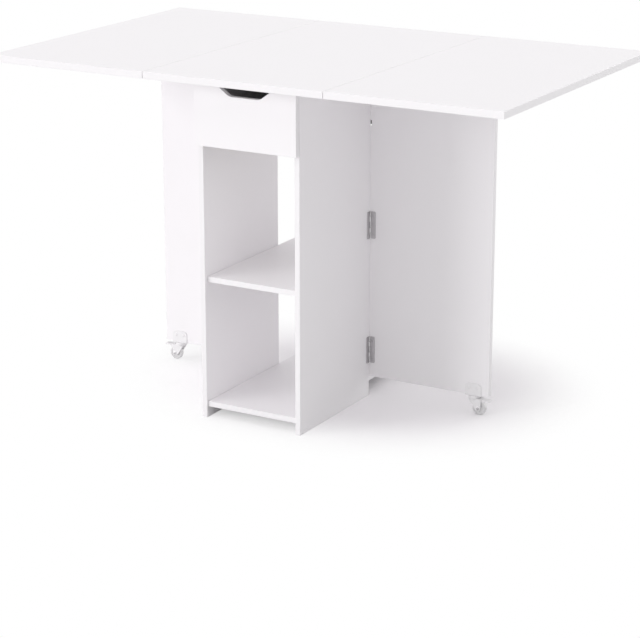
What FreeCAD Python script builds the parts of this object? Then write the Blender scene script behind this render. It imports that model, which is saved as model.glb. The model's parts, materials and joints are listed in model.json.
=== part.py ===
import FreeCAD, Part
import Sketcher
import os
from types import SimpleNamespace
from FreeCAD import Placement, Rotation, Vector

# Kitchen table with a storage cabinet: a narrow open cabinet with one drawer carries a fixed
# centre top; two leaves are hinged to it and rest on two gates that swing out on casters.
# Millimetres. The origin lies on the floor under the middle of the table, +X along the table,
# +Y from the drawer front to the open back, +Z up.

SIZES = {
    # Top
    "table_height": 750,
    "table_depth": 730,
    "top_thickness": 15,
    "centre_width": 422,
    "leaf_length": 388,
    "seam_gap": 1,
    # Boards and how their edges are eased
    "board": 12,
    "board_ease": 0.5,
    # Cabinet
    "cabinet_width": 242,
    "front_overhang": 65,
    "side_play": 0.25,
    "shelf_depth": 500,
    "middle_shelf_height": 300,
    "middle_shelf_setback": 8,
    "bottom_shelf_height": 24,
    "bottom_shelf_setback": 4,
    "rail_height": 60,
    # Drawer
    "front_height": 135,
    "front_gap": 3,
    "bumper_thickness": 1.5,
    "bumper_radius": 4,
    "bumper_inset": 13,
    "grip_width": 144,
    "grip_depth": 26,
    "grip_slope": 36,
    "grip_corner": 22,
    "box_play": 1,
    "box_floor_height": 21,
    "box_side_height": 97,
    "box_back_height": 107,
    "box_back_gap": 8,
    "panel_thickness": 3,
    "groove_depth": 4,
    "groove_height": 5,
    "runner_height": 15,
    "runner_tail": 40,
    "runner_setback": 4,
    "running_gap": 0.3,
    "stop_width": 20,
    "stop_depth": 15,
    "stop_drop": 18,
    "stop_centre": 80,
    "stop_setback": 15,
    # Cams, bolts and dowels that hold the boards
    "fixing_inset": 50,
    "cam_radius": 7.5,
    "cam_depth": 9.5,
    "cam_distance": 24,
    "bolt_radius": 2.9,
    "bolt_grip": 8,
    "dowel_radius": 3,
    "dowel_grip": 8,
    "dowel_reach": 20,
    "fixing_play": 0.1,
    # Hinges
    "hinge_length": 60,
    "hinge_width": 14,
    "hinge_plate": 1.5,
    "barrel_radius": 2.5,
    "pin_radius": 1.25,
    "pin_play": 0.05,
    "knuckle_gap": 0.3,
    "barrel_play": 0.3,
    "hinge_screw_pitch": 40,
    "hinge_screw_distance": 9,
    "screw_radius": 1.5,
    "screw_head_radius": 2.9,
    "screw_length": 10,
    "screw_play": 0.1,
    "seam_hinge_inset": 55,
    "seam_hinge_offset": 45,
    "gate_hinge_top_inset": 45,
    "gate_hinge_low_inset": 62,
    "gate_hinge_lift": 10,
    # Gates
    "gate_end": 412,
    "gate_bottom": 44,
    "gate_setback": 0.7,
    "gate_tuck": 0.4,
    "gate_top_play": 0.3,
    "relief_depth": 2.5,
    "relief_margin": 1,
    # Casters
    "caster_x": 375,
    "bracket_width": 38,
    "bracket_wall": 2,
    "bracket_height": 26,
    "bracket_corner": 9,
    "bracket_bolt_pitch": 20,
    "bracket_bolt_height": 16,
    "bracket_bolt_radius": 2,
    "bracket_bolt_head": 3.8,
    "bracket_bolt_dome": 1.6,
    "raceway_radius": 13,
    "raceway_height": 5,
    "swivel_gap": 0.3,
    "fork_plate": 2,
    "fork_disc_radius": 12.4,
    "fork_width": 18,
    "fork_wall": 1.8,
    "fork_front": 8,
    "fork_tail": 19.4,
    "fork_foot_radius": 5,
    "fork_shoulder": 30,
    "kingpin_radius": 3,
    "kingpin_head_radius": 5,
    "kingpin_head": 1,
    "wheel_radius": 15,
    "wheel_width": 13,
    "wheel_trail": 13,
    "wheel_hub_radius": 5.5,
    "wheel_recess": 1.8,
    "wheel_rim": 3.6,
    "wheel_round": 1.8,
    "wheel_rim_setback": 1,
    "axle_radius": 2,
    "axle_head_radius": 3.5,
    "axle_head": 1,
    "pedal_pivot": 15.3,
    "pedal_height": 33.8,
    "pedal_hub_radius": 2.4,
    "pedal_pin_radius": 1.3,
    "pedal_width": 13.4,
    "pedal_tip": 40,
    "pedal_tip_width": 16,
    "pedal_thickness": 2.6,
    "pedal_rise": 1.4,
    "pedal_fall": 0.6,
    "shoe_reach": 11,
    "shoe_gap": 1.5,
    "hair": 0.01,
}

KNUCKLES = 5
FIXED_KNUCKLES = (0, 2, 4)
MOVING_KNUCKLES = (1, 3)
COUNTERSINK_DEGREES = 43
PLANES = {"x": "YZ_Plane", "y": "XZ_Plane", "z": "XY_Plane"}

doc = FreeCAD.newDocument("kitchen_table")
sheet = doc.addObject("Spreadsheet::Sheet", "Sizes")
for row, (name, number) in enumerate(SIZES.items(), start=1):
    sheet.set(f"A{row}", name)
    sheet.set(f"B{row}", str(number))
    sheet.setAlias(f"B{row}", name)
doc.recompute()


class Size:
    """A length with its present number and the sheet expression that gives it."""

    def __init__(self, text, number):
        self.text = text
        self.number = number

    @staticmethod
    def of(thing):
        return thing if isinstance(thing, Size) else Size(repr(thing), thing)

    def joined(self, sign, other, number):
        return Size(f"({self.text} {sign} {other.text})", number)

    def __add__(self, other):
        other = Size.of(other)
        return self.joined("+", other, self.number + other.number)

    def __sub__(self, other):
        other = Size.of(other)
        return self.joined("-", other, self.number - other.number)

    def __mul__(self, other):
        other = Size.of(other)
        return self.joined("*", other, self.number * other.number)

    def __truediv__(self, other):
        other = Size.of(other)
        return self.joined("/", other, self.number / other.number)

    def __radd__(self, other):
        return Size.of(other) + self

    def __rsub__(self, other):
        return Size.of(other) - self

    def __rmul__(self, other):
        return Size.of(other) * self

    def __neg__(self):
        return Size.of(0) - self


s = SimpleNamespace(**{name: Size(f"Sizes.{name}", number) for name, number in SIZES.items()})


def bind(thing, prop, size):
    thing.setExpression(prop, Size.of(size).text)


# Outlines. Every corner and centre is held from the sketch's origin by two bound distances.

def rectangle(left, right, low, high):
    return [(left, low), (right, low), (right, high), (left, high)]


def circle(across, up, radius):
    return (across, up, radius)


def hold(sketch, geometry, end, across, up):
    for kind, distance in (("DistanceX", across), ("DistanceY", up)):
        number = Size.of(distance).number
        index = sketch.addConstraint(Sketcher.Constraint(kind, -1, 1, geometry, end, number))
        bind(sketch, f"Constraints[{index}]", distance)


def draw(sketch, outline):
    if isinstance(outline, tuple):
        across, up, radius = (Size.of(part) for part in outline)
        round_edge = Part.Circle(Vector(across.number, up.number, 0), Vector(0, 0, 1), radius.number)
        ring = sketch.addGeometry(round_edge, False)
        hold(sketch, ring, 3, across, up)
        index = sketch.addConstraint(Sketcher.Constraint("Radius", ring, radius.number))
        bind(sketch, f"Constraints[{index}]", radius)
        return
    corners = [(Size.of(across), Size.of(up)) for across, up in outline]
    places = [Vector(across.number, up.number, 0) for across, up in corners]
    lines = []
    for start, end in zip(places, places[1:] + places[:1]):
        lines.append(sketch.addGeometry(Part.LineSegment(start, end), False))
    for line, following in zip(lines, lines[1:] + lines[:1]):
        sketch.addConstraint(Sketcher.Constraint("Coincident", line, 2, following, 1))
    for line, (across, up) in zip(lines, corners):
        hold(sketch, line, 1, across, up)


def sketch_on(body, name, normal, level, outlines):
    sketch = body.newObject("Sketcher::SketchObject", f"{body.Name}_{name}_outline")
    plane = next(item for item in body.Origin.OriginFeatures if item.Role == PLANES[normal])
    sketch.AttachmentSupport = (plane, [""])
    sketch.MapMode = "FlatFace"
    bind(sketch, "AttachmentOffset.Base.z", -Size.of(level) if normal == "y" else level)
    for outline in outlines:
        draw(sketch, outline)
    return sketch


# Features. An XZ sketch faces -Y, so its pads start at the far level and its pockets at the near one.

def new_body(label):
    body = doc.addObject("PartDesign::Body", label)
    body.Label = label
    return body


def extrude(body, name, normal, low, high, *outlines, taper=0):
    level = high if normal == "y" else low
    sketch = sketch_on(body, name, normal, level, outlines)
    feature = body.newObject("PartDesign::Pad", f"{body.Name}_{name}")
    feature.Profile = sketch
    bind(feature, "Length", Size.of(high) - low)
    feature.TaperAngle = taper
    body.Tip = feature
    return feature


def carve(body, name, normal, low, high, *outlines, taper=0):
    level = low if normal == "y" else high
    sketch = sketch_on(body, name, normal, level, outlines)
    feature = body.newObject("PartDesign::Pocket", f"{body.Name}_{name}")
    feature.Profile = sketch
    bind(feature, "Length", Size.of(high) - low)
    feature.TaperAngle = taper
    body.Tip = feature
    return feature


def turn(body, name, normal, axis, *outlines, kind="Revolution"):
    sketch = sketch_on(body, name, normal, 0, outlines)
    feature = body.newObject(f"PartDesign::{kind}", f"{body.Name}_{name}")
    feature.Profile = sketch
    feature.ReferenceAxis = (sketch, [axis])
    feature.Angle = 360
    body.Tip = feature
    return feature


def ease(body, size):
    """Breaks every edge of the board as it stands, the way its edge band is trimmed."""
    base = body.Tip
    feature = body.newObject("PartDesign::Chamfer", f"{body.Name}_eased")
    feature.Base = (base, [""])
    feature.UseAllEdges = True
    bind(feature, "Size", size)
    body.Tip = feature


def round_edges(body, name, radius, chosen):
    """Rounds the edges of the present solid that the test picks out."""
    doc.recompute()
    base = body.Tip
    edges = [f"Edge{number}" for number, edge in enumerate(base.Shape.Edges, start=1) if chosen(edge)]
    feature = body.newObject("PartDesign::Fillet", f"{body.Name}_{name}")
    feature.Base = (base, edges)
    bind(feature, "Radius", radius)
    body.Tip = feature


def board(label, normal, low, high, outline):
    body = new_body(label)
    extrude(body, "panel", normal, low, high, outline)
    ease(body, s.board_ease)
    return body


def between(sign, near, far):
    """The low and high ends of a stretch on the side of the middle that the sign names."""
    return (Size.of(near), Size.of(far)) if sign > 0 else (-Size.of(far), -Size.of(near))


SIDES = (("left", -1), ("right", 1))

# Places that several pieces share.
top_under = s.table_height - s.top_thickness
top_half = s.table_depth / 2
centre_half = s.centre_width / 2
seam_x = centre_half + s.seam_gap / 2
outer_x = s.cabinet_width / 2
inner_x = outer_x - s.board
side_middle_x = outer_x - s.board / 2
shelf_x = inner_x - s.side_play
side_front = s.front_overhang - top_half

# Boards meet at cams near the front and rear edges of the side panels, with a dowel between.
cam_rows = (side_front + s.fixing_inset, -s.fixing_inset)
dowel_row = side_front / 2
cam_x = shelf_x - s.cam_distance
bolt_bore = s.bolt_radius + s.fixing_play
dowel_bore = s.dowel_radius + s.fixing_play
shelf_levels = (s.middle_shelf_height, s.bottom_shelf_height)
rail_middle_y = -s.board / 2
rail_bolt_z = top_under - s.rail_height / 3
rail_dowel_z = top_under - s.rail_height * 2 / 3
cam_top_z = top_under - s.cam_distance

# The front closes on bumpers; the box behind it rides on the runners.
front_back_y = side_front - s.bumper_thickness
front_y = front_back_y - s.board
front_top = top_under - s.front_gap
front_low = front_top - s.front_height
box_low = front_low + s.box_floor_height + s.running_gap
runner_top = front_low + s.box_floor_height
runner_low = runner_top - s.runner_height
runner_middle = (runner_low + runner_top) / 2
box_x = inner_x - s.box_play
box_inner_x = box_x - s.board
box_back_y = -s.board - s.box_back_gap
box_back_front_y = box_back_y - s.board
floor_low = box_low + s.groove_height
floor_high = floor_low + s.panel_thickness
groove_high = floor_high + s.running_gap / 2
stop_back_y = side_front + s.stop_setback + s.stop_depth
runner_rows = (side_front + s.fixing_inset, dowel_row, -s.fixing_inset)

# Hinges. The gates' pins stand on the cabinet's rear outer corners; the seams' under the gap.
gate_pin_y = s.gate_setback
gate_x = outer_x - s.gate_tuck
gate_back_y = gate_pin_y + s.board
gate_top = top_under - s.gate_top_play
barrel_reach = s.barrel_radius + s.barrel_play
seam_pin_z = top_under - barrel_reach
seam_face = -barrel_reach
screw_bore = s.screw_radius + s.screw_play
knuckle_length = (s.hinge_length - (KNUCKLES - 1) * s.knuckle_gap) / KNUCKLES
seam_centres = (s.seam_hinge_inset - top_half, -s.seam_hinge_offset, top_half - s.seam_hinge_inset)
gate_hinge_high = gate_top - s.gate_hinge_top_inset
gate_hinge_low = s.gate_bottom + s.gate_hinge_low_inset
gate_hinge_middle = (gate_hinge_low + gate_hinge_high) / 2 - s.gate_hinge_lift
gate_centres = (gate_hinge_low, gate_hinge_middle, gate_hinge_high)


def screw_spots(distance, centres):
    half = s.hinge_screw_pitch / 2
    return [(distance, centre + offset) for centre in centres for offset in (-half, half)]


# ---------------------------------------------------------------- boards of the cabinet

def center_top():
    body = board("center_top", "z", top_under, s.table_height,
                 rectangle(-centre_half, centre_half, -top_half, top_half))
    bolts = [circle(sign * side_middle_x, y, bolt_bore) for _, sign in SIDES for y in cam_rows]
    carve(body, "bolt_holes", "z", top_under, top_under + s.bolt_grip, *bolts)
    dowels = [circle(sign * side_middle_x, dowel_row, dowel_bore) for _, sign in SIDES]
    carve(body, "dowel_holes", "z", top_under, top_under + s.dowel_grip, *dowels)
    screws = [circle(sign * (seam_x - distance), y, screw_bore)
              for _, sign in SIDES
              for distance, y in screw_spots(s.hinge_screw_distance, seam_centres)]
    carve(body, "hinge_screw_holes", "z", top_under, top_under + s.screw_length, *screws)
    return body


def hinge_notches(body, normal, low, high, across_low, across_high):
    """Rebates along a corner that let the gate hinges' barrels in."""
    half = s.hinge_length / 2 + s.barrel_play
    recesses = [rectangle(across_low, across_high, z - half, z + half) for z in gate_centres]
    carve(body, "barrel_rebates", normal, low, high, *recesses)


def side_panel(side, sign):
    low, high = between(sign, inner_x, outer_x)
    body = board(f"{side}_side_panel", "x", low, high, rectangle(side_front, 0, 0, top_under))
    inner = between(sign, inner_x, inner_x + s.cam_depth)
    carve(body, "cam_pockets", "x", *inner, *[circle(y, cam_top_z, s.cam_radius) for y in cam_rows])
    bolts = [circle(y, level + s.board / 2, bolt_bore) for y in cam_rows for level in shelf_levels]
    bolts.append(circle(rail_middle_y, rail_bolt_z, bolt_bore))
    carve(body, "bolt_holes", "x", *between(sign, inner_x, inner_x + s.bolt_grip), *bolts)
    dowels = [circle(dowel_row, level + s.board / 2, dowel_bore) for level in shelf_levels]
    dowels.append(circle(rail_middle_y, rail_dowel_z, dowel_bore))
    carve(body, "dowel_holes", "x", *between(sign, inner_x, inner_x + s.dowel_grip), *dowels)
    x = sign * side_middle_x
    carve(body, "top_bolt_bores", "z", cam_top_z, top_under, *[circle(x, y, bolt_bore) for y in cam_rows])
    carve(body, "top_dowel_bore", "z", top_under - s.dowel_reach, top_under, circle(x, dowel_row, dowel_bore))
    screws = [circle(y, runner_middle, screw_bore) for y in runner_rows]
    carve(body, "runner_screw_holes", "x", *between(sign, inner_x, inner_x + s.screw_length), *screws)
    screws = [circle(gate_pin_y - distance, z, screw_bore)
              for distance, z in screw_spots(s.hinge_screw_distance, gate_centres)]
    outer = between(sign, outer_x - s.screw_length, outer_x)
    carve(body, "hinge_screw_holes", "x", *outer, *screws)
    recess = between(sign, outer_x - barrel_reach, outer_x)
    hinge_notches(body, "x", *recess, gate_pin_y - barrel_reach, Size.of(0))
    return body


def shelf(label, level, setback):
    front = side_front + setback
    body = board(label, "z", level, level + s.board,
                 rectangle(-shelf_x, shelf_x, front, front + s.shelf_depth))
    cams = [circle(sign * cam_x, y, s.cam_radius) for _, sign in SIDES for y in cam_rows]
    carve(body, "cam_pockets", "z", level, level + s.cam_depth, *cams)
    middle = level + s.board / 2
    for side, sign in SIDES:
        bores = [circle(y, middle, bolt_bore) for y in cam_rows]
        carve(body, f"{side}_bolt_bores", "x", *between(sign, cam_x, shelf_x), *bores)
        reach = between(sign, shelf_x - s.dowel_reach, shelf_x)
        carve(body, f"{side}_dowel_bore", "x", *reach, circle(dowel_row, middle, dowel_bore))
    return body


def rear_rail():
    body = board("rear_rail", "y", -s.board, Size.of(0),
                 rectangle(-shelf_x, shelf_x, top_under - s.rail_height, top_under))
    cams = [circle(sign * cam_x, rail_bolt_z, s.cam_radius) for _, sign in SIDES]
    carve(body, "cam_pockets", "y", -s.board, -s.board + s.cam_depth, *cams)
    for side, sign in SIDES:
        carve(body, f"{side}_bolt_bore", "x", *between(sign, cam_x, shelf_x),
              circle(rail_middle_y, rail_bolt_z, bolt_bore))
        carve(body, f"{side}_dowel_bore", "x", *between(sign, shelf_x - s.dowel_reach, shelf_x),
              circle(rail_middle_y, rail_dowel_z, dowel_bore))
    return body


# ---------------------------------------------------------------- fixings of the boards

def cam_locks():
    """Barrel cams, each with the slot that takes its bolt's head."""
    body = new_body("cam_locks")
    radius = s.cam_radius - s.fixing_play
    height = s.cam_depth - s.fixing_play
    for level, name in zip(shelf_levels, ("middle", "bottom")):
        discs = [circle(sign * cam_x, y, radius) for _, sign in SIDES for y in cam_rows]
        extrude(body, f"{name}_cams", "z", level, level + height, *discs)
    discs = [circle(sign * cam_x, rail_bolt_z, radius) for _, sign in SIDES]
    extrude(body, "rail_cams", "y", -s.board, -s.board + height, *discs)
    for side, sign in SIDES:
        discs = [circle(y, cam_top_z, radius) for y in cam_rows]
        extrude(body, f"{side}_top_cams", "x", *between(sign, inner_x, inner_x + height), *discs)
    slot = s.bolt_radius + 2 * s.fixing_play
    for side, sign in SIDES:
        slots = [circle(y, level + s.board / 2, slot) for y in cam_rows for level in shelf_levels]
        slots.append(circle(rail_middle_y, rail_bolt_z, slot))
        carve(body, f"{side}_slots", "x", *between(sign, cam_x, cam_x + s.cam_radius), *slots)
    slots = [circle(sign * side_middle_x, y, slot) for _, sign in SIDES for y in cam_rows]
    carve(body, "top_slots", "z", cam_top_z, cam_top_z + s.cam_radius, *slots)
    return body


def cam_bolts():
    body = new_body("cam_bolts")
    for side, sign in SIDES:
        rods = [circle(y, level + s.board / 2, s.bolt_radius) for y in cam_rows for level in shelf_levels]
        rods.append(circle(rail_middle_y, rail_bolt_z, s.bolt_radius))
        reach = between(sign, cam_x + s.fixing_play, inner_x + s.bolt_grip)
        extrude(body, f"{side}_bolts", "x", *reach, *rods)
    rods = [circle(sign * side_middle_x, y, s.bolt_radius) for _, sign in SIDES for y in cam_rows]
    extrude(body, "top_bolts", "z", cam_top_z + s.fixing_play, top_under + s.bolt_grip, *rods)
    return body


def wood_dowels():
    body = new_body("wood_dowels")
    for side, sign in SIDES:
        rods = [circle(dowel_row, level + s.board / 2, s.dowel_radius) for level in shelf_levels]
        rods.append(circle(rail_middle_y, rail_dowel_z, s.dowel_radius))
        reach = between(sign, shelf_x - s.dowel_reach, inner_x + s.dowel_grip)
        extrude(body, f"{side}_dowels", "x", *reach, *rods)
    rods = [circle(sign * side_middle_x, dowel_row, s.dowel_radius) for _, sign in SIDES]
    extrude(body, "top_dowels", "z", top_under - s.dowel_reach, top_under + s.dowel_grip, *rods)
    return body


# ---------------------------------------------------------------- drawer and its runners

def runner(side, sign):
    low, high = between(sign, inner_x - s.board, inner_x)
    body = board(f"{side}_drawer_runner", "x", low, high,
                 rectangle(side_front + s.runner_setback, 0, runner_low, runner_top))
    tail = between(sign, shelf_x - s.board, shelf_x)
    extrude(body, "tail", "x", *tail, rectangle(-s.board, s.runner_tail, runner_low, runner_top))
    screws = [circle(y, runner_middle, screw_bore) for y in runner_rows]
    carve(body, "screw_holes", "x", low, high, *screws)
    heads = [circle(y, runner_middle, s.screw_head_radius + s.screw_play) for y in runner_rows]
    carve(body, "counterbores", "x", *between(sign, inner_x - s.board, inner_x - s.board / 2), *heads)
    return body


def runner_screws():
    body = new_body("runner_screws")
    for side, sign in SIDES:
        tip = inner_x + s.screw_length - s.fixing_play
        shank = between(sign, inner_x - s.board / 2, tip)
        spots = [(y, runner_middle) for y in runner_rows]
        extrude(body, f"{side}_shanks", "x", *shank, *[circle(*spot, s.screw_radius) for spot in spots])
        head = between(sign, inner_x - s.board + s.hinge_plate, inner_x - s.board / 2)
        extrude(body, f"{side}_heads", "x", *head, *[circle(*spot, s.screw_head_radius) for spot in spots])
    return body


def drawer_stops():
    """Lugs under the centre top that the drawer's tall back meets when it is pulled right out."""
    body = new_body("drawer_stops")
    stops = []
    for _, sign in SIDES:
        low, high = between(sign, s.stop_centre - s.stop_width / 2, s.stop_centre + s.stop_width / 2)
        stops.append(rectangle(low, high, side_front + s.stop_setback, stop_back_y))
    extrude(body, "lugs", "z", top_under - s.stop_drop, top_under, *stops)
    return body


def drawer_bumpers():
    body = new_body("drawer_bumpers")
    levels = (front_low + s.bumper_inset, front_top - s.bumper_inset)
    dots = [circle(sign * side_middle_x, z, s.bumper_radius) for _, sign in SIDES for z in levels]
    extrude(body, "dots", "y", front_back_y, side_front, *dots)
    return body


def drawer_front():
    body = new_body("drawer_front")
    extrude(body, "panel", "y", front_y, front_back_y, rectangle(-outer_x, outer_x, front_low, front_top))
    ease(body, s.board_ease)
    half = s.grip_width / 2
    grip_low = front_top - s.grip_depth
    grip = [(-half, front_top), (-half + s.grip_slope, grip_low), (half - s.grip_slope, grip_low), (half, front_top)]
    carve(body, "grip", "y", front_y, front_back_y, grip)
    round_edges(body, "grip_corners", s.grip_corner,
                lambda edge: abs(edge.CenterOfMass.z - grip_low.number) < 0.01
                and edge.BoundBox.YLength > s.board.number / 2)
    groove = rectangle(-box_inner_x, box_inner_x, floor_low, groove_high)
    carve(body, "groove", "y", front_back_y - s.groove_depth, front_back_y, groove)
    return body


def drawer_side(side, sign):
    low, high = between(sign, box_inner_x, box_x)
    body = board(f"drawer_{side}_side", "x", low, high,
                 rectangle(front_back_y, box_back_y, box_low, box_low + s.box_side_height))
    groove = rectangle(front_back_y, box_back_y, floor_low, groove_high)
    carve(body, "groove", "x", *between(sign, box_inner_x, box_inner_x + s.groove_depth), groove)
    return body


def drawer_back():
    return board("drawer_back", "y", box_back_front_y, box_back_y,
                 rectangle(-box_inner_x, box_inner_x, floor_high + s.running_gap, box_low + s.box_back_height))


def drawer_floor():
    body = new_body("drawer_bottom")
    half = box_inner_x + s.groove_depth - s.side_play
    front = front_back_y + s.side_play
    extrude(body, "panel", "z", floor_low, floor_high, rectangle(-half, half, front, box_back_y))
    return body


# ---------------------------------------------------------------- leaves and gates

def leaf(side, sign):
    near = centre_half + s.seam_gap
    low, high = between(sign, near, near + s.leaf_length)
    body = board(f"{side}_leaf", "z", top_under, s.table_height, rectangle(low, high, -top_half, top_half))
    screws = [circle(sign * (seam_x + distance), y, screw_bore)
              for distance, y in screw_spots(s.hinge_screw_distance, seam_centres)]
    carve(body, "hinge_screw_holes", "z", top_under, top_under + s.screw_length, *screws)
    return body


def bracket_bolt_spots():
    z = s.gate_bottom + s.bracket_bolt_height
    half = s.bracket_bolt_pitch / 2
    return [(s.caster_x - half, z), (s.caster_x + half, z)]


def gate(side, sign):
    low, high = between(sign, gate_x, s.gate_end)
    body = board(f"{side}_gate", "y", gate_pin_y, gate_back_y, rectangle(low, high, s.gate_bottom, gate_top))
    screws = [circle(sign * (outer_x + distance), z, screw_bore)
              for distance, z in screw_spots(s.hinge_screw_distance, gate_centres)]
    carve(body, "hinge_screw_holes", "y", gate_pin_y, gate_pin_y + s.screw_length, *screws)
    bolts = [circle(sign * x, z, s.bracket_bolt_radius + s.fixing_play) for x, z in bracket_bolt_spots()]
    carve(body, "bracket_bolt_holes", "y", gate_pin_y, gate_back_y, *bolts)
    recess = between(sign, gate_x, outer_x + barrel_reach)
    hinge_notches(body, "y", gate_pin_y, gate_pin_y + barrel_reach, *recess)
    relief = rectangle(*between(sign, gate_x, outer_x + s.relief_depth),
                       runner_low + s.relief_margin, runner_top - s.relief_margin)
    carve(body, "runner_relief", "y", gate_pin_y, gate_back_y, relief)
    return body


# ---------------------------------------------------------------- hinges
# Each half is built with its pin along its own Z, its plate along +X and the board's face
# across Y at the level called face. Placement turns it to its place.

def set_down(body, x_way, y_way, x, y, z):
    z_way = x_way.cross(y_way)
    body.Placement = Placement(Vector(0, 0, 0), Rotation(x_way, y_way, z_way, "ZXY"))
    bind(body, ".Placement.Base.x", x)
    bind(body, ".Placement.Base.y", y)
    bind(body, ".Placement.Base.z", z)


def knuckle_ends(centre, index):
    low = centre - s.hinge_length / 2 + index * (knuckle_length + s.knuckle_gap)
    return low, low + knuckle_length


def hinge_half(label, centres, knuckles, face):
    body = new_body(label)
    outside = face + s.hinge_plate
    half = s.hinge_length / 2
    plates = [rectangle(barrel_reach, s.hinge_width, centre - half, centre + half) for centre in centres]
    extrude(body, "plates", "y", face, outside, *plates)
    spans = [knuckle_ends(centre, index) for centre in centres for index in knuckles]
    tongues = [rectangle(0, barrel_reach, low, high) for low, high in spans]
    extrude(body, "tongues", "y", face, outside, *tongues)
    barrels = [rectangle(0, s.barrel_radius, low, high) for low, high in spans]
    turn(body, "knuckles", "y", "V_Axis", *barrels)
    bores = [rectangle(0, s.pin_radius + s.pin_play, centre - half, centre + half) for centre in centres]
    turn(body, "bore", "y", "V_Axis", *bores, kind="Groove")
    holes = [circle(*spot, screw_bore) for spot in screw_spots(s.hinge_screw_distance, centres)]
    carve(body, "screw_holes", "y", face, outside, *holes, taper=COUNTERSINK_DEGREES)
    return body


def hinge_screws(label, centres, face):
    """Countersunk screws; the head fills the plate and the shank goes into the board."""
    body = new_body(label)
    spots = screw_spots(s.hinge_screw_distance, centres)
    heads = [circle(*spot, s.screw_head_radius) for spot in spots]
    extrude(body, "heads", "y", face, face + s.hinge_plate, *heads, taper=-COUNTERSINK_DEGREES)
    shanks = [circle(*spot, s.screw_radius) for spot in spots]
    extrude(body, "shanks", "y", face - s.screw_length + s.fixing_play, face, *shanks)
    return body


def hinge_pins(label, centres):
    body = new_body(label)
    half = s.hinge_length / 2
    rods = [rectangle(0, s.pin_radius, centre - half, centre + half) for centre in centres]
    turn(body, "rods", "y", "V_Axis", *rods)
    return body


WAY_X = Vector(1, 0, 0)
WAY_Y = Vector(0, 1, 0)
WAY_Z = Vector(0, 0, 1)


def seam_hinges(side, sign):
    """The three hinges under one seam: both halves, their screws and their pins."""
    place = (sign * seam_x, Size.of(0), seam_pin_z)
    made = []
    for piece, way, knuckles in (("fixed", -sign, FIXED_KNUCKLES), ("moving", sign, MOVING_KNUCKLES)):
        centres = [way * centre for centre in seam_centres]
        plates = hinge_half(f"{side}_leaf_hinge_{piece}", centres, knuckles, seam_face)
        screws = hinge_screws(f"{side}_leaf_screws_{piece}", centres, seam_face)
        for body in (plates, screws):
            set_down(body, WAY_X * way, WAY_Z * -1, *place)
            made.append(body)
    pins = hinge_pins(f"{side}_leaf_hinge_pins", seam_centres)
    set_down(pins, WAY_X, WAY_Z * -1, *place)
    return made + [pins]


def gate_hinges(side, sign):
    """The three hinges of one gate: both halves, their screws and their pins."""
    place = (sign * outer_x, gate_pin_y, Size.of(0))
    made = []
    ways = (("fixed", sign, WAY_Y * -1, WAY_X * sign, FIXED_KNUCKLES),
            ("moving", -sign, WAY_X * sign, WAY_Y * -1, MOVING_KNUCKLES))
    for piece, way, along, out, knuckles in ways:
        centres = [way * centre for centre in gate_centres]
        plates = hinge_half(f"{side}_gate_hinge_{piece}", centres, knuckles, Size.of(0))
        screws = hinge_screws(f"{side}_gate_screws_{piece}", centres, Size.of(0))
        for body in (plates, screws):
            set_down(body, along, out, *place)
            made.append(body)
    pins = hinge_pins(f"{side}_gate_hinge_pins", gate_centres)
    set_down(pins, WAY_X, WAY_Y, *place)
    return made + [pins]


# ---------------------------------------------------------------- casters
# Built about the swivel axis with +X outward, then turned about Z for the left gate.

plate_low = s.gate_bottom - s.bracket_wall
raceway_low = plate_low - s.raceway_height
fork_top = raceway_low - s.swivel_gap
fork_roof = fork_top - s.fork_plate
slot_half = s.fork_width / 2 - s.fork_wall
gate_half = s.board / 2
bracket_half = gate_half + s.bracket_wall
pedal_top = s.pedal_height + s.pedal_hub_radius


def caster_bracket(label):
    """A channel that straddles the gate's lower edge, over the swivel's raceway."""
    body = new_body(label)
    wide = s.bracket_width / 2
    top = s.gate_bottom + s.bracket_height
    extrude(body, "channel", "z", plate_low, top, rectangle(-wide, wide, -bracket_half, bracket_half))
    carve(body, "slot", "z", s.gate_bottom, top, rectangle(-wide, wide, -gate_half, gate_half))
    round_edges(body, "corners", s.bracket_corner,
                lambda edge: edge.BoundBox.YLength > s.bracket_wall.number / 2
                and edge.BoundBox.ZLength < 0.01 and edge.BoundBox.XLength < 0.01
                and abs(edge.CenterOfMass.z - top.number) < 0.01)
    extrude(body, "raceway", "z", raceway_low, plate_low, circle(0, 0, s.raceway_radius))
    carve(body, "kingpin_hole", "z", raceway_low, s.gate_bottom, circle(0, 0, s.kingpin_radius))
    half = s.bracket_bolt_pitch / 2
    z = s.gate_bottom + s.bracket_bolt_height
    holes = [circle(x, z, s.bracket_bolt_radius + s.fixing_play) for x in (-half, half)]
    carve(body, "bolt_holes", "y", -bracket_half, bracket_half, *holes)
    return body


def bracket_bolts(label):
    body = new_body(label)
    half = s.bracket_bolt_pitch / 2
    z = s.gate_bottom + s.bracket_bolt_height
    extrude(body, "shanks", "y", -bracket_half, bracket_half,
            *[circle(x, z, s.bracket_bolt_radius) for x in (-half, half)])
    for name, low in (("front", -bracket_half - s.bracket_bolt_dome), ("rear", bracket_half)):
        extrude(body, f"{name}_heads", "y", low, low + s.bracket_bolt_dome,
                *[circle(x, z, s.bracket_bolt_head) for x in (-half, half)])
    return body


def kingpin(label):
    """The rivet that the fork turns on, with its head under the fork's plate."""
    body = new_body(label)
    head_top = fork_roof - s.swivel_gap
    extrude(body, "shank", "z", head_top, s.gate_bottom, circle(0, 0, s.kingpin_radius))
    head = circle(0, 0, s.kingpin_head_radius)
    extrude(body, "head", "z", head_top - s.kingpin_head, head_top, head)
    return body


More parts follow.
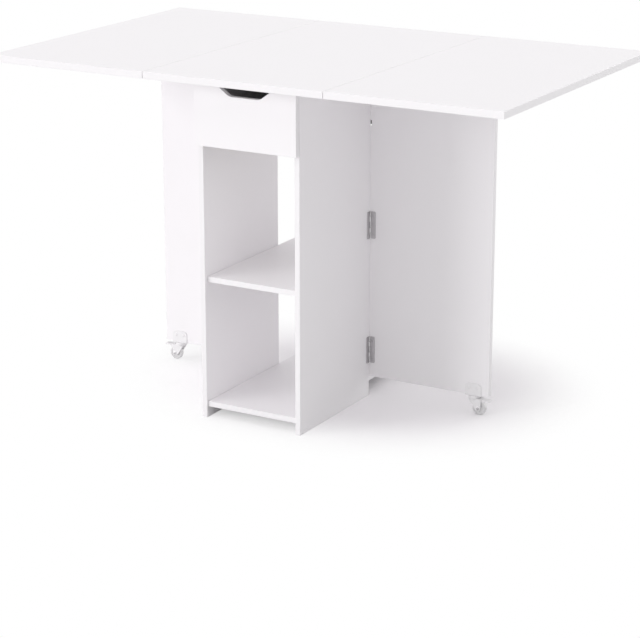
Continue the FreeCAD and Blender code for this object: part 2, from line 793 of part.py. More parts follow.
def fork(label):
    """Two cheeks under a round plate, bent from one piece and open over the brake pedal."""
    body = new_body(label)
    foot = s.fork_foot_radius
    low = s.wheel_radius - foot
    cheek = [(-s.fork_front, fork_top), (-s.fork_front, fork_roof - s.fork_plate),
             (s.wheel_trail - foot, low), (s.wheel_trail + foot, low),
             (s.fork_tail, s.fork_shoulder), (s.fork_tail, fork_top)]
    extrude(body, "cheeks", "y", -s.fork_width / 2, s.fork_width / 2, cheek)
    round_edges(body, "feet", foot - s.fixing_play,
                lambda edge: edge.BoundBox.YLength > s.fork_width.number / 2
                and abs(edge.CenterOfMass.z - low.number) < 0.01)
    extrude(body, "disc", "z", fork_roof, fork_top, circle(0, 0, s.fork_disc_radius))
    gap = rectangle(-s.fork_front, s.fork_tail, -slot_half, slot_half)
    carve(body, "slot", "z", 0, fork_roof, gap)
    window = rectangle(s.fork_disc_radius, s.fork_tail, -slot_half, slot_half)
    carve(body, "pedal_window", "z", fork_roof, fork_top, window)
    carve(body, "swivel_hole", "z", fork_roof, fork_top, circle(0, 0, s.kingpin_radius + s.pin_play))
    wide = s.fork_width / 2
    carve(body, "axle_holes", "y", -wide, wide, circle(s.wheel_trail, s.wheel_radius, s.axle_radius))
    pivot = circle(s.pedal_pivot, s.pedal_height, s.pedal_pin_radius + s.pin_play)
    carve(body, "pedal_holes", "y", -wide, wide, pivot)
    return body


def axle(label):
    body = new_body(label)
    wide = s.fork_width / 2
    extrude(body, "shank", "y", -wide, wide, circle(s.wheel_trail, s.wheel_radius, s.axle_radius))
    for name, low in (("front", -wide - s.axle_head), ("rear", wide)):
        extrude(body, f"{name}_head", "y", low, low + s.axle_head,
                circle(s.wheel_trail, s.wheel_radius, s.axle_head_radius))
    return body


def wheel(label):
    """A one-piece wheel turned about its axle, dished between hub and rim."""
    body = new_body(label)
    half = s.wheel_width / 2
    web = half - s.wheel_recess
    bore = s.axle_radius + s.pin_play
    rim = s.wheel_radius - s.wheel_rim
    edge = s.wheel_radius - s.wheel_round
    face = half - s.wheel_rim_setback
    tread = face - s.wheel_round
    right = [(half, bore), (half, s.wheel_hub_radius), (web, s.wheel_hub_radius), (web, rim),
             (face, rim), (face, edge), (tread, s.wheel_radius)]
    profile = right + [(-across, up) for across, up in reversed(right)]
    turn(body, "wheel", "x", "H_Axis", profile)
    return body


def brake_pedal(label):
    """A lever on trunnions in the fork's cheeks; its curved shoe hangs over the wheel."""
    body = new_body(label)
    half = s.pedal_width / 2
    extrude(body, "hub", "y", -half, half, circle(s.pedal_pivot, s.pedal_height, s.pedal_hub_radius))
    low = s.pedal_height - s.pedal_thickness
    tread_low = low + s.pedal_rise
    tread_high = tread_low + s.pedal_thickness
    shoe_x = s.pedal_pivot + s.pedal_hub_radius + s.fork_foot_radius
    arm = [(s.pedal_pivot, pedal_top - s.hair), (s.pedal_pivot, s.wheel_radius),
           (shoe_x, s.wheel_radius + s.shoe_reach), (shoe_x + s.pedal_thickness, low),
           (s.pedal_tip, tread_low), (s.pedal_tip, tread_high), (shoe_x, pedal_top - s.pedal_fall)]
    extrude(body, "arm", "y", -half, half, arm)
    shoe = circle(s.wheel_trail, s.wheel_radius, s.wheel_radius + s.shoe_gap)
    carve(body, "shoe", "y", -half, half, shoe)
    wide = s.pedal_tip_width / 2
    tip = rectangle(s.fork_tail + s.fork_foot_radius, s.pedal_tip, -wide, wide)
    extrude(body, "tread", "z", tread_low, tread_high, tip)
    trunnion = circle(s.pedal_pivot, s.pedal_height, s.pedal_pin_radius)
    extrude(body, "trunnions", "y", -s.fork_width / 2, s.fork_width / 2, trunnion)
    return body


def caster(side, sign):
    made = [caster_bracket(f"{side}_caster_bracket"), bracket_bolts(f"{side}_bracket_bolts"),
            kingpin(f"{side}_kingpin"), fork(f"{side}_caster_fork"), axle(f"{side}_wheel_axle"),
            brake_pedal(f"{side}_brake_pedal")]
    middle_y = gate_pin_y + gate_half
    for body in made:
        set_down(body, WAY_X * sign, WAY_Y * sign, sign * s.caster_x, middle_y, Size.of(0))
    rolling = wheel(f"{side}_wheel")
    set_down(rolling, WAY_X * sign, WAY_Y * sign, sign * (s.caster_x + s.wheel_trail), middle_y, s.wheel_radius)
    return made + [rolling]


# ---------------------------------------------------------------- the whole table

parts = [center_top(), rear_rail(),
         shelf("middle_shelf", s.middle_shelf_height, s.middle_shelf_setback),
         shelf("bottom_shelf", s.bottom_shelf_height, s.bottom_shelf_setback),
         cam_locks(), cam_bolts(), wood_dowels(), runner_screws(), drawer_stops(), drawer_bumpers(),
         drawer_front(), drawer_back(), drawer_floor()]
for side, sign in SIDES:
    parts += [side_panel(side, sign), runner(side, sign), drawer_side(side, sign)]
    parts += [leaf(side, sign), gate(side, sign)]
    parts += seam_hinges(side, sign) + gate_hinges(side, sign) + caster(side, sign)
doc.recompute()

for item in doc.Objects:
    if "Invalid" in item.State or "Error" in item.State:
        raise RuntimeError(f"{item.Label} failed: {item.State}")
    if item.TypeId in ("PartDesign::Pocket", "PartDesign::Groove"):
        if item.Shape.Volume > item.BaseFeature.Shape.Volume - 0.1:
            raise RuntimeError(f"{item.Label} cuts nothing")
for part in parts:
    if part.Shape.isNull() or not part.Shape.isValid():
        raise RuntimeError(f"{part.Label} has no valid shape")

os.makedirs("parts", exist_ok=True)
for part in parts:
    part.Shape.exportStep(f"parts/{part.Label}.step")
    print(part.Label, len(part.Shape.Solids), round(part.Shape.Volume))
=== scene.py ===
# %% [markdown]
# # A kitchen table with a storage cabinet
#
# The table is made of white faced boards: a narrow cabinet with one drawer in the middle, a
# centre top on it, and a leaf on each side that rests on a gate with a caster. The frame
# that is loaded first holds every solid of the table in its right place. This lesson gives
# those solids their finishes, and models again the small parts whose shape shows most.

import json
import math
import bmesh
import bpy
from mathutils import Matrix, Vector

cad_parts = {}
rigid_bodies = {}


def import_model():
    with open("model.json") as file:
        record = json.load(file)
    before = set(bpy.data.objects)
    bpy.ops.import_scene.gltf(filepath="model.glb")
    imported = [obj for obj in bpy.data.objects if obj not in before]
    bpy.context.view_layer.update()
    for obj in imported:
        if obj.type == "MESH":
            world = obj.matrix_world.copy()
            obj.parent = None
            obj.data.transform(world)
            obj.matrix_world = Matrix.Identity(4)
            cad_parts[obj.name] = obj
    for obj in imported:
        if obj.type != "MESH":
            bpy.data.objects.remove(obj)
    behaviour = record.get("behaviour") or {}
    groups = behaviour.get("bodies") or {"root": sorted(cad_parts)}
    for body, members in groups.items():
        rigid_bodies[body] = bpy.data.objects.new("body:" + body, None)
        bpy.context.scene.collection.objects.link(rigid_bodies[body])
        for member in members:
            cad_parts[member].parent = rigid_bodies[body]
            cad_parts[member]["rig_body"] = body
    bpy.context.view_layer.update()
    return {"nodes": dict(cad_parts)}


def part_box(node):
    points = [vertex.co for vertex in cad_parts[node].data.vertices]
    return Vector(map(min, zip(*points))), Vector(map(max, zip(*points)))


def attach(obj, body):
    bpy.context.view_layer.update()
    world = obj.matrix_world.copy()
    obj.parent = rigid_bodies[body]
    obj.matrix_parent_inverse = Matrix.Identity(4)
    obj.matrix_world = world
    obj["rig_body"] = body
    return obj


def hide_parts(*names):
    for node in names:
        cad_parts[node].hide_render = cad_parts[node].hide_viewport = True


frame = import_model()
nodes = frame["nodes"]

# %% [markdown]
# ## How a finish is wired
#
# A material in Blender is a small graph. Its last node is nearly always the Principled BSDF,
# which stands for one real surface: its colour, how polished it is and whether it is metal.
# Numbers that are the same everywhere are typed into its sockets. What changes over the
# surface, such as a fine grain, is worked out by other nodes and linked in. The helpers below
# start a material, add a node with its settings in one line, and do one step of arithmetic,
# because every finish on the table is wired in the same way.

# %% Helpers for wiring finishes
def start_finish(name, color, roughness, metallic=0.0):
    """A new material with the even values of its surface set on the shader itself."""
    material = bpy.data.materials.new(name)
    material.use_nodes = True
    shader = material.node_tree.nodes["Principled BSDF"]
    shader.inputs["Base Color"].default_value = (*color, 1.0)
    shader.inputs["Roughness"].default_value = roughness
    shader.inputs["Metallic"].default_value = metallic
    return material, material.node_tree, shader


def feed(tree, socket, value):
    """Links another node's output into a socket, or types a plain value into it."""
    if isinstance(value, bpy.types.NodeSocket):
        tree.links.new(value, socket)
    else:
        socket.default_value = value


def add_node(tree, kind, settings=None, **inputs):
    """Adds one node with its settings, and feeds the sockets that are named."""
    node = tree.nodes.new(kind)
    for key, value in (settings or {}).items():
        setattr(node, key, value)
    for key, value in inputs.items():
        feed(tree, node.inputs[key.replace("_", " ")], value)
    return node


def work_out(tree, operation, *values, kind="ShaderNodeMath", output=0, **settings):
    """One step of arithmetic: feeds the values in their order and gives back the result."""
    node = add_node(tree, kind, {"operation": operation, **settings})
    for socket, value in zip(node.inputs, values):
        feed(tree, socket, value)
    return node.outputs[output]


def work_out_vector(tree, operation, *values, output=0):
    """The same with vectors."""
    return work_out(tree, operation, *values, kind="ShaderNodeVectorMath", output=output)


def mix_shaders(tree, mask, near, far, ending):
    """Ends a graph with near where the mask is 0 and far where it is 1."""
    mixed = add_node(tree, "ShaderNodeMixShader")
    for socket, source in zip(mixed.inputs, (mask, near, far)):
        tree.links.new(source, socket)
    tree.links.new(mixed.outputs[0], tree.nodes[ending].inputs["Surface"])


def fed_by(socket):
    """The output that is linked to a socket."""
    return socket.links[0].from_socket


def start_group(name, inputs, outputs):
    """A shader node group with named number or colour sockets, built once and used often."""
    group = bpy.data.node_groups.new(name, "ShaderNodeTree")
    for socket_name, kind, default in inputs:
        socket = group.interface.new_socket(
            name=socket_name, in_out="INPUT", socket_type=kind)
        socket.default_value = default
    for socket_name, kind in outputs:
        group.interface.new_socket(name=socket_name, in_out="OUTPUT", socket_type=kind)
    entry = group.nodes.new("NodeGroupInput")
    leave = group.nodes.new("NodeGroupOutput")
    return group, entry, leave


def place_group(tree, group, **inputs):
    """Puts one copy of a node group into a material with this finish's own values."""
    return add_node(tree, "ShaderNodeGroup", {"node_tree": group}, **inputs)


print("helpers ready")

# %% [markdown]
# ## A fine surface grain, shared by all finishes
#
# No real surface is perfectly even. Melamine has a fine pebbled face pressed into it,
# moulded plastic has the dull texture of its mould, and cast metal is a little rough. All of
# these are one effect at different sizes: noise that shifts the colour by a hair, changes
# the polish a little and raises tiny bumps. An image of it would blur close up and repeat,
# so it is built from noise nodes as a group: each finish sets its own size and strength.

# %% The fine grain group
NUMBER, COLOR, VECTOR = "NodeSocketFloat", "NodeSocketColor", "NodeSocketVector"
CLOUD_SCALE = 9.0
grain_group, entry, leave = start_group(
    "fine grain",
    [("Color", COLOR, (0.8, 0.8, 0.8, 1.0)), ("Size", NUMBER, 900.0),
     ("Stretch", VECTOR, (1.0, 1.0, 1.0)), ("Tint", NUMBER, 0.02),
     ("Polish", NUMBER, 0.4), ("Polish Spread", NUMBER, 0.08)],
    [("Color", COLOR), ("Roughness", NUMBER), ("Height", NUMBER)])
given = entry.outputs
where = add_node(grain_group, "ShaderNodeTexCoord").outputs["Object"]
stretched = work_out_vector(grain_group, "MULTIPLY", where, given["Stretch"])
pebbles = add_node(grain_group, "ShaderNodeTexNoise", Vector=stretched,
                   Scale=given["Size"], Detail=3.0, Roughness=0.55).outputs["Fac"]
clouds = add_node(grain_group, "ShaderNodeTexNoise", Vector=stretched,
                  Scale=CLOUD_SCALE, Detail=2.0, Roughness=0.5).outputs["Fac"]
centred = work_out(grain_group, "SUBTRACT", work_out(grain_group, "ADD", pebbles, clouds), 1.0)
tint = work_out(grain_group, "MULTIPLY_ADD", centred, given["Tint"], 1.0)
shaded = add_node(grain_group, "ShaderNodeVectorMath", {"operation": "SCALE"},
                  Vector=given["Color"], Scale=tint).outputs[0]
polish = work_out(grain_group, "MULTIPLY_ADD", centred, given["Polish Spread"], given["Polish"])
for source, output in ((shaded, "Color"), (polish, "Roughness"), (pebbles, "Height")):
    grain_group.links.new(source, leave.inputs[output])
print("group:", grain_group.name, "with", len(grain_group.nodes), "nodes")


BUMP_STRENGTH = 0.35


def grained(name, color, size, roughness, metallic=0.0, stretch=(1, 1, 1), tint=0.02,
            bump=0.0002):
    """A finish whose colour, polish and bumps come from the fine grain group."""
    material, tree, shader = start_finish(name, color, roughness, metallic)
    grain = place_group(tree, grain_group, Color=(*color, 1.0), Size=size, Stretch=stretch,
                        Tint=tint, Polish=roughness)
    relief = add_node(tree, "ShaderNodeBump", Height=grain.outputs["Height"],
                      Distance=bump, Strength=BUMP_STRENGTH)
    tree.links.new(grain.outputs["Color"], shader.inputs["Base Color"])
    tree.links.new(grain.outputs["Roughness"], shader.inputs["Roughness"])
    tree.links.new(relief.outputs["Normal"], shader.inputs["Normal"])
    return material, tree, shader


# %% [markdown]
# ## Which way a surface faces
#
# A faced board has melamine on its two wide faces and a thin plastic band glued round its
# edges, which is a little smoother. Hardboard is lacquered on one face and bare on the
# other. Both need to know which way a surface faces. The Texture Coordinate node gives the
# surface's own normal, and a dot product with the wanted way turns that into a mask, which
# is sharper and simpler than painting or splitting the mesh.

# %% The facing group
FACING = 0.7
facing_group, entry, leave = start_group(
    "facing", [("Way", VECTOR, (0.0, 0.0, 1.0))],
    [("Either Side", NUMBER), ("This Side", NUMBER)])
own = add_node(facing_group, "ShaderNodeTexCoord").outputs["Normal"]
this_side = work_out_vector(facing_group, "DOT_PRODUCT", own, entry.outputs["Way"],
                            output="Value")
either_side = work_out(facing_group, "ABSOLUTE", this_side)
for source, output in ((either_side, "Either Side"), (this_side, "This Side")):
    mask = work_out(facing_group, "GREATER_THAN", source, FACING)
    facing_group.links.new(mask, leave.inputs[output])
print("group:", facing_group.name)

# %% [markdown]
# ## The finishes
#
# The boards are faced with white melamine: a satin white with very fine pebbles. The
# hinges are zinc plated steel with faint rolling lines, the cams are rough die-cast zinc,
# and the plastics differ in polish. Each one is the grain group with its own numbers. The
# boards need three versions, because a board that stands has its wide faces another way.
# The hinge knuckles carry a number kept with the mesh: there the steel is smoother, as
# rubbed steel is, and its colour is lifted to near white as a painted highlight.

# %% Boards and hardboard
WHITE, BAND_WHITE = (0.91, 0.888, 0.908), (0.885, 0.866, 0.884)
# The Mix node keeps sockets for several kinds of value: these are the places of its colours.
COLOR_A, COLOR_B, COLOR_RESULT = 6, 7, 2


def mix_in(tree, mask, near, far):
    """A colour that goes from near to far where the mask is 1."""
    mixed = add_node(tree, "ShaderNodeMix", {"data_type": "RGBA"}, Factor=mask)
    for index, value in ((COLOR_A, near), (COLOR_B, far)):
        feed(tree, mixed.inputs[index], (*value, 1.0) if isinstance(value, tuple) else value)
    return mixed.outputs[COLOR_RESULT]


def board_finish(name, way):
    """White melamine on the faces across one way, and the smoother edge band elsewhere."""
    material, tree, shader = grained(name, WHITE, 1400, 0.42, tint=0.012)
    face = place_group(tree, facing_group, Way=way)
    pebbled = fed_by(shader.inputs["Base Color"])
    tree.links.new(mix_in(tree, face.outputs["Either Side"], BAND_WHITE, pebbled),
                   shader.inputs["Base Color"])
    relief = fed_by(shader.inputs["Normal"]).node
    on_face = work_out(tree, "MULTIPLY", fed_by(relief.inputs["Height"]),
                       face.outputs["Either Side"])
    tree.links.new(on_face, relief.inputs["Height"])
    return material


BOARD_FINISHES = [board_finish("standing board across x", (1.0, 0.0, 0.0)),
                  board_finish("standing board across y", (0.0, 1.0, 0.0)),
                  board_finish("lying board", (0.0, 0.0, 1.0))]

panel_white, tree, shader = grained("lacquered hardboard", (0.86, 0.86, 0.85), 700, 0.5,
                                    tint=0.03)
upper = place_group(tree, facing_group, Way=(0.0, 0.0, 1.0))
fibres = place_group(tree, grain_group, Color=(0.74, 0.71, 0.67, 1.0), Size=260.0, Tint=0.2,
                     Polish=0.8, Polish_Spread=0.1)
lacquer = fed_by(shader.inputs["Base Color"])
tree.links.new(mix_in(tree, upper.outputs["This Side"], fibres.outputs["Color"], lacquer),
               shader.inputs["Base Color"])
print("board finishes:", [material.name for material in BOARD_FINISHES])

# %% Metals, wood and plastics
RUBBED_SMOOTHER = -0.16
plated_steel, tree, shader = grained("zinc plated steel", (0.57, 0.555, 0.57), 900, 0.36, 1.0,
                                     stretch=(1, 0.08, 0.08), tint=0.2, bump=0.0001)
rubbed_and_painted_highlight = add_node(tree, "ShaderNodeAttribute", {"attribute_name": "rubbed_and_painted_highlight"})
rolling_lines = fed_by(shader.inputs["Base Color"])
# Marked knuckles: the colour is lifted to near white, a painted highlight, and the roughness drops
# as on rubbed steel.
tree.links.new(mix_in(tree, rubbed_and_painted_highlight.outputs["Fac"], rolling_lines, (0.93, 0.92, 0.93)),
               shader.inputs["Base Color"])
rubbed = work_out(tree, "MULTIPLY_ADD", rubbed_and_painted_highlight.outputs["Fac"], RUBBED_SMOOTHER,
                  fed_by(shader.inputs["Roughness"]), use_clamp=True)
tree.links.new(rubbed, shader.inputs["Roughness"])
cast_zinc, _, _ = grained("die cast zinc", (0.52, 0.52, 0.53), 1500, 0.5, 1.0, tint=0.15)
beech_wood, _, _ = grained("beech", (0.55, 0.36, 0.19), 500, 0.6, stretch=(0.1, 1, 1),
                           tint=0.25)
dark_plastic, _, _ = grained("dark plastic", (0.03, 0.03, 0.032), 1800, 0.5, tint=0.1)
soft_dot, _, soft_shader = grained("soft clear dot", (0.75, 0.77, 0.77), 600, 0.3)
soft_shader.inputs["Transmission Weight"].default_value = 0.35
white_plastic, _, _ = grained("white plastic", (0.86, 0.84, 0.86), 2000, 0.42, tint=0.02)
fork_plastic, _, _ = grained("fork plastic", (0.86, 0.845, 0.86), 1500, 0.32, tint=0.02)
wheel_nylon, _, _ = grained("wheel nylon", (0.74, 0.73, 0.74), 1500, 0.3, tint=0.03)
FINISHES = {
    "hardboard": panel_white, "steel": plated_steel,
    "zinc": cast_zinc, "beech": beech_wood, "dark_runner": dark_plastic,
    "clear_rubber": soft_dot, "white_plastic": white_plastic,
    "caster_plastic": fork_plastic, "wheel_plastic": wheel_nylon,
}
slot_of = {}


def thin_way(name):
    """The axis that a board is thinnest along: 0 for x, 1 for y, 2 for z."""
    low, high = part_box(name)
    return min(range(3), key=lambda axis: high[axis] - low[axis])


def finish_of(name):
    """The finish of a frame node, and for a board the one that lies its way."""
    if slot_of[name] == "white_melamine":
        return BOARD_FINISHES[thin_way(name)]
    return FINISHES[slot_of[name]]


for name, node in nodes.items():
    slot_of[name] = node.data.materials[0].name.split(".")[0]
    for index in range(len(node.data.materials)):
        node.data.materials[index] = finish_of(name)
print("slots:", sorted(set(slot_of.values())))

# %% [markdown]
# ## Tools for the workbench
#
# A mesh in a script is shaped in a bmesh, which is Blender's editable copy of one. Blocks and
# round bars are the two shapes most small hardware starts from, so each gets a helper that
# takes millimetres. The plain solids of the frame can also be asked where their separate
# lumps lie, so the new pieces go exactly where the old ones are.

# %% Blocks, bars and outlines
MM = 0.001
# Points closer than this many metres become one: on a raw mesh, a finished piece or a cut one.
WELD, WELD_PIECE, WELD_CUT = 0.000001, 0.000002, 0.00001


def block(sheet, low, high):
    """A block between two corners; gives back its eight vertices."""
    low, high = Vector(low) * MM, Vector(high) * MM
    verts = bmesh.ops.create_cube(sheet, size=1.0)["verts"]
    bmesh.ops.scale(sheet, vec=high - low, verts=verts)
    bmesh.ops.translate(sheet, vec=(low + high) / 2, verts=verts)
    return verts


QUARTER_TURN = math.pi / 2
WAY_UP = {"x": Matrix.Rotation(QUARTER_TURN, 4, "Y"), "y": Matrix.Rotation(-QUARTER_TURN, 4, "X"),
          "z": Matrix.Identity(4)}


def bar(sheet, way, middle, radius, low, high, segments=32, end_radius=None):
    """A round bar or cone along x, y or z, from low to high, about its middle line."""
    if end_radius is None:
        end_radius = radius
    verts = bmesh.ops.create_cone(
        sheet, cap_ends=True, cap_tris=False, segments=segments, radius1=radius * MM,
        radius2=end_radius * MM, depth=(high - low) * MM)["verts"]
    bmesh.ops.translate(sheet, vec=(0, 0, (low + high) / 2 * MM), verts=verts)
    bmesh.ops.transform(sheet, matrix=WAY_UP[way], verts=verts)
    bmesh.ops.translate(sheet, vec=Vector(middle) * MM, verts=verts)
    return verts


def slab(sheet, outline, thickness):
    """A flat outline raised along y by its thickness; the outline is a list of points."""
    verts = [sheet.verts.new(Vector(point) * MM) for point in outline]
    face = sheet.faces.new(verts)
    raised = bmesh.ops.extrude_face_region(sheet, geom=[face])["geom"]
    moved = [item for item in raised if isinstance(item, bmesh.types.BMVert)]
    bmesh.ops.translate(sheet, vec=(0, thickness * MM, 0), verts=moved)
    return verts + moved


def edges_of(verts):
    """Every edge that ends at one of these vertices."""
    return {edge for vert in verts for edge in vert.link_edges}


def along(edge, axis):
    """Whether an edge runs along one axis, 0 for x, 1 for y, 2 for z."""
    way = edge.verts[1].co - edge.verts[0].co
    return abs(way[axis]) > 0.999 * way.length


def rims_of(verts, axis):
    """The edges of a bar's two ends, which are those that don't run along its axis."""
    return [edge for edge in edges_of(verts) if not along(edge, axis)]


def round_off(sheet, edges, radius, segments):
    """Rounds edges; the operator is told everything that the editor would fill in."""
    return bmesh.ops.bevel(
        sheet, geom=list(edges), offset=radius * MM, offset_type="OFFSET",
        segments=segments, profile=0.5, affect="EDGES", material=-1, clamp_overlap=True)


def sharp_edges(sheet, degrees):
    """The edges where two faces meet at more than this angle."""
    limit = math.radians(degrees)
    return [edge for edge in sheet.edges
            if len(edge.link_faces) == 2 and edge.calc_face_angle(0) > limit]


print("one millimetre is", MM)

# %% Cutting and stamping
def loose_object(name, sheet):
    """A mesh object made from a bmesh; the bmesh is used up."""
    bmesh.ops.recalc_face_normals(sheet, faces=sheet.faces)
    mesh = bpy.data.meshes.new(name)
    sheet.to_mesh(mesh)
    sheet.free()
    item = bpy.data.objects.new(name, mesh)
    bpy.context.scene.collection.objects.link(item)
    return item


def cut(sheet, cutter):
    """The first bmesh less the second, by Blender's boolean modifier."""
    work, tool = loose_object("work", sheet), loose_object("tool", cutter)
    knife = work.modifiers.new("cut", "BOOLEAN")
    knife.operation, knife.solver, knife.object = "DIFFERENCE", "EXACT", tool
    knife.use_self = True
    seen = work.evaluated_get(bpy.context.evaluated_depsgraph_get())
    result = bmesh.new()
    result.from_mesh(seen.to_mesh())
    seen.to_mesh_clear()
    for item in (work, tool):
        mesh = item.data
        bpy.data.objects.remove(item)
        bpy.data.meshes.remove(mesh)
    bmesh.ops.remove_doubles(result, verts=result.verts, dist=WELD_CUT)
    return result


def spun(outline, way="y", segments=32):
    """Half an outline of (radius, height) points turned about an axis, closed if it is a ring."""
    sheet = bmesh.new()
    points = [sheet.verts.new((r * MM, 0, z * MM)) for r, z in outline]
    edges = [sheet.edges.new(pair) for pair in zip(points, points[1:])]
    if outline[0][0] > 0:
        edges.append(sheet.edges.new((points[-1], points[0])))
    bmesh.ops.spin(sheet, geom=points + edges, cent=(0, 0, 0), axis=(0, 0, 1), dvec=(0, 0, 0),
                   angle=math.tau, steps=segments, use_merge=True, use_duplicate=False)
    bmesh.ops.remove_doubles(sheet, verts=sheet.verts, dist=WELD)
    bmesh.ops.transform(sheet, matrix=WAY_UP[way], verts=sheet.verts)
    return sheet


def placed(x_way, y_way, place):
    """The matrix that sets a piece down with its own x and y along the given ways."""
    x_way, y_way = Vector(x_way), Vector(y_way)
    turn = Matrix((x_way, y_way, x_way.cross(y_way))).transposed().to_4x4()
    return Matrix.Translation(Vector(place)) @ turn


def stamp(pattern, places):
    """One new bmesh with a copy of the pattern at each place."""
    sheet = bmesh.new()
    mesh = bpy.data.meshes.new("pattern")
    pattern.to_mesh(mesh)
    for place in places:
        before = len(sheet.verts)
        sheet.from_mesh(mesh)
        sheet.verts.ensure_lookup_table()
        bmesh.ops.transform(sheet, matrix=place, verts=sheet.verts[before:])
    bpy.data.meshes.remove(mesh)
    return sheet


def add_to(sheet, part):
    """Adds one bmesh to another and frees it."""
    mesh = bpy.data.meshes.new("part")
    part.to_mesh(mesh)
    part.free()
    sheet.from_mesh(mesh)
    bpy.data.meshes.remove(mesh)


def lumps(name):
    """The box of each separate lump of a frame node: a list of (low, high) corners."""
    sheet = bmesh.new()
    sheet.from_mesh(nodes[name].data)
    bmesh.ops.remove_doubles(sheet, verts=sheet.verts, dist=WELD)
    left, boxes = set(sheet.verts), []
    while left:
        queue, seen = [left.pop()], []
        while queue:
            vert = queue.pop()
            seen.append(vert.co.copy())
            for edge in vert.link_edges:
                other = edge.other_vert(vert)
                if other in left:
                    left.remove(other)
                    queue.append(other)
        boxes.append((Vector([min(p[i] for p in seen) for i in range(3)]),
                      Vector([max(p[i] for p in seen) for i in range(3)])))
    sheet.free()
    return sorted(boxes, key=lambda pair: tuple(pair[0]))


def middle(pair):
    """The point halfway between the two corners of a box."""
    return (pair[0] + pair[1]) / 2


print("lumps in the cams' node:", len(lumps("cam_locks")))

# %% [markdown]
# ## Handing a piece over
#
# A finished bmesh becomes an object that rides on the same body as the solid it stands for.
# Its rounds are shaded smooth, and the Weighted Normal modifier lets the largest face at each
# corner decide the shading, so flat boards stay flat right up to their rounded edges.

# %% Handing a piece over to the frame
SMOOTH_UP_TO = math.radians(35)
made = []


def hand_over(name, sheet, replaced):
    """Makes the piece, gives it its finish and puts it in the place of a frame node."""
    bmesh.ops.remove_doubles(sheet, verts=sheet.verts, dist=WELD_PIECE)
    piece = loose_object(name, sheet)
    piece.data.shade_smooth()
    piece.data.set_sharp_from_angle(angle=SMOOTH_UP_TO)
    flat_first = piece.modifiers.new("flat faces first", "WEIGHTED_NORMAL")
    flat_first.keep_sharp = True
    piece.data.materials.append(finish_of(replaced))
    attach(piece, nodes[replaced]["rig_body"])
    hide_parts(replaced)
    made.append(piece)


def hand_over_copies(name, pattern, places, replaced):
    """Hands over one piece that holds a copy of the pattern at each place."""
    hand_over(name, stamp(pattern, places), replaced)
    pattern.free()


print("smooth up to", round(math.degrees(SMOOTH_UP_TO)), "degrees")

# %% [markdown]
# ## Boards with eased edges
#
# A faced board is sawn to size and banded, and then the sharp corners of the band are
# scraped. That small round catches a fine line of light along each edge, and without it
# boards look like paper. The solids have every hole, pocket and scraped corner in place, but
# a scraped corner is still a flat there. So each board starts as a welded copy of its solid,
# its flat triangles are dissolved into whole faces, and both sides of each narrow flat are
# bevelled, which makes it round. Where a gate meets its side panel the two corners are drawn
# out crisp instead, because two rounds there would leave a slit that light shines through.

# %% Ease the boards
FLAT, ROUND, ROUND_SEGMENTS = 0.5, 0.2, 2
STILL_FLAT = math.radians(0.5)
SEAM_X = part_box("right_side_panel")[1][0]
SCRAPED = (math.radians(40), math.radians(50))


def welded(name):
    """A copy of a frame node's mesh, its loose triangles joined into flat faces."""
    sheet = bmesh.new()
    sheet.from_mesh(nodes[name].data)
    bmesh.ops.remove_doubles(sheet, verts=sheet.verts, dist=WELD)
    bmesh.ops.dissolve_limit(sheet, angle_limit=STILL_FLAT, verts=sheet.verts,
                             edges=sheet.edges, use_dissolve_boundaries=False)
    return sheet


def draw_out(sheet, x, y):
    """Pulls an upright scraped corner out to the crisp corner at x, y."""
    reach = FLAT * MM * 1.2
    for vert in sheet.verts:
        if abs(vert.co.x - x) < reach and abs(vert.co.y - y) < reach:
            vert.co.x, vert.co.y = x, y
    bmesh.ops.remove_doubles(sheet, verts=sheet.verts, dist=WELD)


def ease(name):
    """Replaces a board by a copy whose scraped edges are round."""
    sheet = welded(name)
    low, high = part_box(name)
    inner_x = min(abs(low[0]), abs(high[0]))
    if name.endswith("gate"):
        draw_out(sheet, math.copysign(inner_x, low[0]), low[1])
    if name.endswith("side_panel"):
        draw_out(sheet, math.copysign(SEAM_X, low[0]), high[1])
    flats = [edge for edge in sheet.edges if len(edge.link_faces) == 2
             and SCRAPED[0] < edge.calc_face_angle(0) < SCRAPED[1]]
    round_off(sheet, flats, ROUND, ROUND_SEGMENTS)
    hand_over(f"{name}_eased", sheet, name)
    return len(flats)


eased = {name: ease(name) for name in nodes if slot_of[name] == "white_melamine"}
print("edges rounded:", eased)

# %% [markdown]
# ## Hinges
#
# Each leaf and each gate hangs on three butt hinges. One is two plates of plated steel whose
# edges are rolled into knuckles that interleave on a pin. The plates have rounded outer
# corners, countersunk holes, and a notch beside each knuckle of the other half. A hinge half
# is modelled once about its own pin, with the pin along z and the plate along x, and then
# stamped onto the three pins of a node. The seams under the top and the gates differ only in
# how far the plates lie from the pin.

# %% One hinge half
HINGE_LENGTH, HINGE_WIDTH, PLATE, BARREL, NOTCH = 60.0, 14.0, 1.5, 2.5, 3.7
KNUCKLE_GAP, BORE, ROLL_END = 0.3, 1.3, 0.3
WEB_START, WEB_END = BARREL * 0.6, NOTCH + 0.3
PLATE_CORNER, PLATE_EDGE, HOLE_SPARE = 2.6, 0.22, 0.15
KNUCKLE = (HINGE_LENGTH - 4 * KNUCKLE_GAP) / 5
SCREW_X, SCREW_Z = 9.0, 20.0
HOLE_WIDE, HOLE_NARROW = 3.15, 1.6


